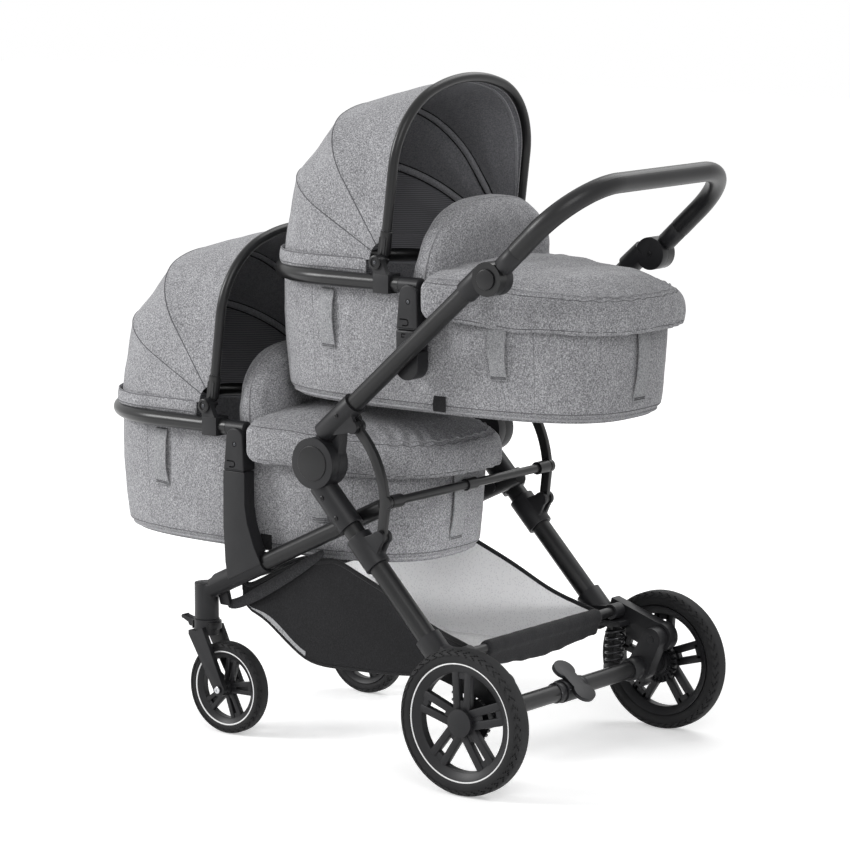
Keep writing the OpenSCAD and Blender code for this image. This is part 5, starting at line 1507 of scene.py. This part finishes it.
class PRAM_OT_fasteners(bpy.types.Operator):
    """Fits screws, axle bolts and pivot caps"""
    bl_idname = "pram.fasteners"
    bl_label = "Screws and bolts"

    def execute(self, context):
        small = screw_model(0.0042, 0.34)
        fine = screw_model(0.0031, 0.34)
        large = screw_model(0.0062, 0.36)
        hinge = PIVOT["frame_fold"]
        up_slope, leg_slope = math.radians(41.35), math.radians(46.4)
        up = Vector((math.cos(up_slope), 0, math.sin(up_slope)))
        over = Vector((-up.z, 0, up.x))
        down = Vector((math.cos(leg_slope), 0, -math.sin(leg_slope)))
        under = Vector((down.z, 0, -down.x))
        joint, drums = PIVOT["handle_tip"], surface_of(frame["nodes"]["handle_housings"])
        places = []
        for side, sign in SIDES.items():
            outward = Vector((0, sign, 0))
            inner = drums.ray_cast(Vector((joint.x, sign * 0.1, joint.z)), outward)[0]
            if inner:
                places.append((small, "upper_frame", inner, -outward))
            places.append((small, "upper_frame", hinge + up * 0.098 + over * 0.034 + outward * 0.2695, outward))
            for along in (0.058, 0.104):
                places.append((small, "chassis", hinge + down * along + under * 0.0275 + outward * 0.272, outward))
            axle = PIVOT[f"{side}_front_wheel_spin"]
            for face in (-1, 1):
                places.append((large, f"{side}_caster", Vector((axle.x, sign * 0.207 + face * 0.0335, axle.z)),
                               Vector((0, face, 0))))
            swing = PIVOT["rear_suspension"]
            for ahead, above in ((0.0, 0.0), (0.034, 0.028)):
                places.append((small, "chassis", Vector((swing.x - ahead, sign * 0.277, swing.z + above)), outward))
            for cot in COTS:
                fold = PIVOT[f"{cot}_canopy_fold"]
                places.append((fine, f"{cot}_canopy_end", Vector((fold.x, sign * 0.2266, fold.z)), outward))
                places.append((fine, f"{cot}_cot", on_cot(cot, 2.0, sign * 227.6, -27.0), outward))
        groups = {}
        for index, (model, body, place, direction) in enumerate(places):
            groups.setdefault(body, []).append(copy_to(model, f"screw_{index}", aim(place, direction)))
        for body, screws in groups.items():
            fitted = join(f"screws_{body}", screws)
            round_off(fitted, 40)
            metal = "chromed steel" if "caster" in body else "zinc plated steel"
            dress(fitted, ["smooth nylon" if body in ("chassis", "upper_frame") else metal], body)
        for model in (small, fine, large):
            bpy.data.objects.remove(model)
        return {"FINISHED"}


class PRAM_OT_hubs(bpy.types.Operator):
    """Moulds the cots' hubs with their slots, the short upper adapters and the pivot bosses"""
    bl_idname = "pram.hubs"
    bl_label = "Hubs"

    def execute(self, context):
        hub = start("cylinder", vertices=64, radius=0.0195, depth=0.0402, location=(0.001, HUB_MIDDLE, -0.0165),
                    rotation=(math.pi / 2, 0, 0))
        edit(hub)
        choose_faces(hub, lambda c, n: n.z < -0.02 and abs(n.y) < 0.5)
        bpy.ops.mesh.extrude_region_move(TRANSFORM_OT_translate={"value": (-0.002, 0, -0.046)})
        bpy.ops.transform.resize(value=(1.24, 1.0, 0.0), center_override=(-0.001, HUB_MIDDLE, -0.0772))
        bpy.ops.mesh.select_all(action="SELECT")
        bpy.ops.mesh.dissolve_limited(angle_limit=math.radians(2.0))
        choose_faces(hub, lambda c, n: n.y < -0.9)
        bpy.ops.transform.resize(value=(0.78, 1.0, 1.0), center_override=(-0.001, 0.1885, -0.0165))
        choose_faces(hub, lambda c, n: n.z < -0.9)
        bpy.ops.mesh.inset(thickness=0.0055)
        bpy.ops.mesh.extrude_region_move(TRANSFORM_OT_translate={"value": (0, 0, 0.0275)})
        bpy.ops.object.mode_set(mode="OBJECT")
        apply_modifier(hub, "BEVEL", width=0.0055, segments=4, limit_method="ANGLE", angle_limit=math.radians(50))
        slots = (
            [(-0.0165, -0.0585), (-0.002, -0.0585), (0.0012, -0.0600), (0.0026, -0.0640), (0.0012, -0.0680),
             (-0.002, -0.0695), (-0.0105, -0.0695)],
            [(-0.0190, -0.0738), (0.0185, -0.0738)],
        )
        for index, path in enumerate(slots):
            cutter = tube("slot", [Vector((x, HUB_FACE, z)) for x, z in path], (0.0013, 0.0005)[index], 8,
                          flat=2.2, up=(0, 1, 0))
            cut(hub, cutter)
        well = start("cylinder", vertices=32, radius=0.0048, depth=0.005, location=(0.002, HUB_FACE, -0.027),
                     rotation=(math.pi / 2, 0, 0))
        cut(hub, well)
        socket = start("cylinder", vertices=48, radius=0.0139, depth=0.058, location=(-0.0145, 0.2076, 0.0),
                       rotation=(0, math.pi / 2, 0))
        edit(socket)
        choose_faces(socket, lambda c, n: n.x > 0.9)
        bpy.ops.mesh.inset(thickness=0.003, depth=0.0014)
        bpy.ops.mesh.inset(thickness=0.004, depth=0.0006)
        bpy.ops.object.mode_set(mode="OBJECT")
        hub = join("hub_model", [hub, socket])
        round_off(hub, 34)
        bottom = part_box("upper_adapters")[0].z - cot_origin("upper").z
        adapter = start("cube", size=1.0, location=(-0.002, HUB_MIDDLE, (bottom + HUB_SEAM) / 2),
                        scale=(0.0474, 0.0402, HUB_SEAM - bottom))
        edit(adapter)
        choose_faces(adapter, lambda c, n: n.y < -0.9)
        bpy.ops.transform.resize(value=(0.78, 1.0, 1.0), center_override=(-0.001, 0.1885, bottom))
        choose_faces(adapter, lambda c, n: n.z > 0.9)
        bpy.ops.mesh.inset(thickness=0.0070)
        bpy.ops.mesh.extrude_region_move(TRANSFORM_OT_translate={"value": (0, 0, 0.0250)})
        bpy.ops.object.mode_set(mode="OBJECT")
        apply_modifier(adapter, "BEVEL", width=0.0045, segments=4, limit_method="ANGLE", angle_limit=math.radians(50))
        slot = ((-0.004, -0.0845), (-0.012, -0.0845), (-0.012, -0.0900), (-0.006, -0.0900))
        cutter = tube("slot", [Vector((x, HUB_FACE, z)) for x, z in slot], 0.0013, 8,
                      flat=2.2, up=(0, 1, 0))
        cut(adapter, cutter)
        round_off(adapter, 34)
        boss = start("cylinder", vertices=40, radius=0.0126, depth=0.0036, location=(0, 0, 0.0018))
        edit(boss)
        choose_faces(boss, lambda c, n: n.z > 0.9)
        bpy.ops.mesh.inset(thickness=0.0010, depth=0.0007)
        bpy.ops.mesh.inset(thickness=0.0036)
        bpy.ops.mesh.inset(thickness=0.0006, depth=-0.0016)
        close_edit(boss, 40)
        mirror = Matrix.Diagonal((1, -1, 1, 1))
        for cot in COTS:
            place = Matrix.Translation(cot_origin(cot))
            pair = [copy_to(hub, "hub", place), copy_to(hub, "hub", place @ mirror)]
            moulded = join(f"{cot}_hubs_moulded", pair)
            dress(moulded, ["moulded nylon"], f"{cot}_cot")
            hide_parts(f"{cot}_hubs")
            if cot == "upper":
                pair = [copy_to(adapter, "adapter", place), copy_to(adapter, "adapter", place @ mirror)]
                moulded = join("upper_adapters_moulded", pair)
                dress(moulded, ["moulded nylon"], "upper_posts")
                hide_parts("upper_adapters")
            fold = PIVOT[f"{cot}_canopy_fold"]
            pair = [copy_to(boss, "boss", aim((fold.x, sign * 0.2242, fold.z), (0, sign, 0))) for sign in (-1, 1)]
            bosses = join(f"{cot}_pivot_bosses", pair)
            dress(bosses, ["smooth nylon"], f"{cot}_cot")
        for model in (hub, adapter, boss):
            bpy.data.objects.remove(model)
        return {"FINISHED"}


def collar_model(radius, depth, lip):
    """One turned collar along +Z at the origin, with a rounded lip at each end."""
    collar = start("cylinder", vertices=48, radius=radius - lip, depth=depth, location=(0, 0, 0))
    edit(collar)
    choose_faces(collar, lambda c, n: abs(n.z) < 0.5)
    bpy.ops.mesh.inset(thickness=lip * 1.2, depth=lip)
    return close_edit(collar, 40)


class PRAM_OT_collars(bpy.types.Operator):
    """Turns the collars on handle, axle, pedal and forks, and the basket's front clips"""
    bl_idname = "pram.collars"
    bl_label = "Collars and clips"

    def execute(self, context):
        joint, axle = PIVOT["handle_tip"], PIVOT["brake_pedal_turn"]
        slope = math.radians(43.0)
        rise = Vector((math.cos(slope), 0, math.sin(slope)))
        for label, body, radius, depth, lip, spots, direction in (
                ("handle_collars", "handle", 0.0174, 0.040, 0.0008,
                 [joint + rise * 0.051 + Vector((0, sign * 0.252, 0)) for sign in (-1, 1)], rise),
                ("axle_sockets", "rear_axle", 0.0215, 0.032, 0.0024,
                 [axle + Vector((0, sign * 0.2085, 0)) for sign in (-1, 1)], (0, 1, 0)),
                ("pedal_collars", "rear_axle", 0.0190, 0.016, 0.0016,
                 [axle + Vector((0, sign * 0.0335, 0)) for sign in (-1, 1)], (0, 1, 0))):
            model = collar_model(radius, depth, lip)
            made = join(label, [copy_to(model, "collar", aim(spot, direction)) for spot in spots])
            round_off(made, 40)
            dress(made, ["moulded nylon"], body)
            bpy.data.objects.remove(model)
        rings = []
        for sign in (-1, 1):
            rings.append(start("torus", major_radius=0.0232, minor_radius=0.0011, major_segments=48, minor_segments=8,
                               location=joint + Vector((0, sign * 0.2683, 0)), rotation=(math.pi / 2, 0, 0)))
        made = join("handle_joint_rings", rings)
        round_off(made, 60)
        dress(made, ["smooth nylon"], "upper_frame")
        for side, sign in SIDES.items():
            swivel = PIVOT[f"{side}_caster_swivel"]
            band = start("plane", size=1.0, location=(0, 0, 0), rotation=(math.pi / 2, 0, 0))
            edit(band)
            bpy.ops.mesh.select_all(action="SELECT")
            bpy.ops.transform.resize(value=(0.0036, 1.0, 0.015), center_override=(0, 0, 0))
            bpy.ops.transform.translate(value=(0.0258, 0, 0))
            bpy.ops.mesh.spin(steps=40, angle=math.radians(270), center=(0, 0, 0), axis=(0, 0, 1))
            bpy.ops.object.mode_set(mode="OBJECT")
            turned = Matrix.Rotation(math.radians(-135), 4, "Z")
            band.data.transform(Matrix.Translation((swivel.x, swivel.y, 0.1985)) @ turned)
            clean(band)
            apply_modifier(band, "BEVEL", width=0.0012, segments=2, limit_method="ANGLE", angle_limit=math.radians(40))
            band.name = f"{side}_swivel_band"
            round_off(band, 40)
            dress(band, ["smooth nylon"], f"{side}_caster")
            clip = start("cube", size=1.0, location=(-0.2440, sign * 0.1935, 0.2520), scale=(0.024, 0.013, 0.030))
            edit(clip)
            choose_faces(clip, lambda c, n: n.z < -0.9)
            bpy.ops.transform.translate(value=(0.008, 0, 0))
            bpy.ops.mesh.select_all(action="SELECT")
            bpy.ops.mesh.bevel(offset=0.0036, segments=3, affect="EDGES")
            close_edit(clip)
            clip.name = f"{side}_basket_clip"
            dress(clip, ["moulded nylon"], "front_frame")
        return {"FINISHED"}


class PRAM_PT_panel(bpy.types.Panel):
    """Lists the pram's pieces, sizes and colours"""
    bl_label = "Twin pram"
    bl_idname = "PRAM_PT_panel"
    bl_space_type = "VIEW_3D"
    bl_region_type = "UI"
    bl_category = "Twin pram"

    def draw(self, context):
        column = self.layout.column()
        for operator in STEPS:
            column.operator(operator.bl_idname)
        for group in (context.scene.pram_sizes, context.scene.pram_finish):
            for name in group.__annotations__:
                column.prop(group, name)


STEPS = (PRAM_OT_stage, PRAM_OT_finishes, PRAM_OT_tubs, PRAM_OT_mattresses, PRAM_OT_aprons, PRAM_OT_flaps,
         PRAM_OT_canopies, PRAM_OT_bows, PRAM_OT_basket, PRAM_OT_hubs, PRAM_OT_mouldings, PRAM_OT_wheels,
         PRAM_OT_springs, PRAM_OT_collars, PRAM_OT_fasteners)
CLASSES = (PramFinish, PramSizes) + STEPS + (PRAM_PT_panel,)


def register():
    """Adds the classes and the scene's settings."""
    for cls in CLASSES:
        bpy.utils.register_class(cls)
    bpy.types.Scene.pram_finish = bpy.props.PointerProperty(type=PramFinish)
    bpy.types.Scene.pram_sizes = bpy.props.PointerProperty(type=PramSizes)


def unregister():
    """Takes the settings and classes away again."""
    del bpy.types.Scene.pram_sizes
    del bpy.types.Scene.pram_finish
    for cls in reversed(CLASSES):
        bpy.utils.unregister_class(cls)


def main():
    """Builds every piece in order."""
    register()
    bpy.ops.pram.stage()
    bpy.ops.pram.finishes()
    bpy.ops.pram.tubs()
    bpy.ops.pram.mattresses()
    bpy.ops.pram.aprons()
    bpy.ops.pram.flaps()
    bpy.ops.pram.canopies()
    bpy.ops.pram.bows()
    bpy.ops.pram.basket()
    bpy.ops.pram.hubs()
    bpy.ops.pram.mouldings()
    bpy.ops.pram.wheels()
    bpy.ops.pram.springs()
    bpy.ops.pram.collars()
    bpy.ops.pram.fasteners()


if __name__ == "__main__":
    main()
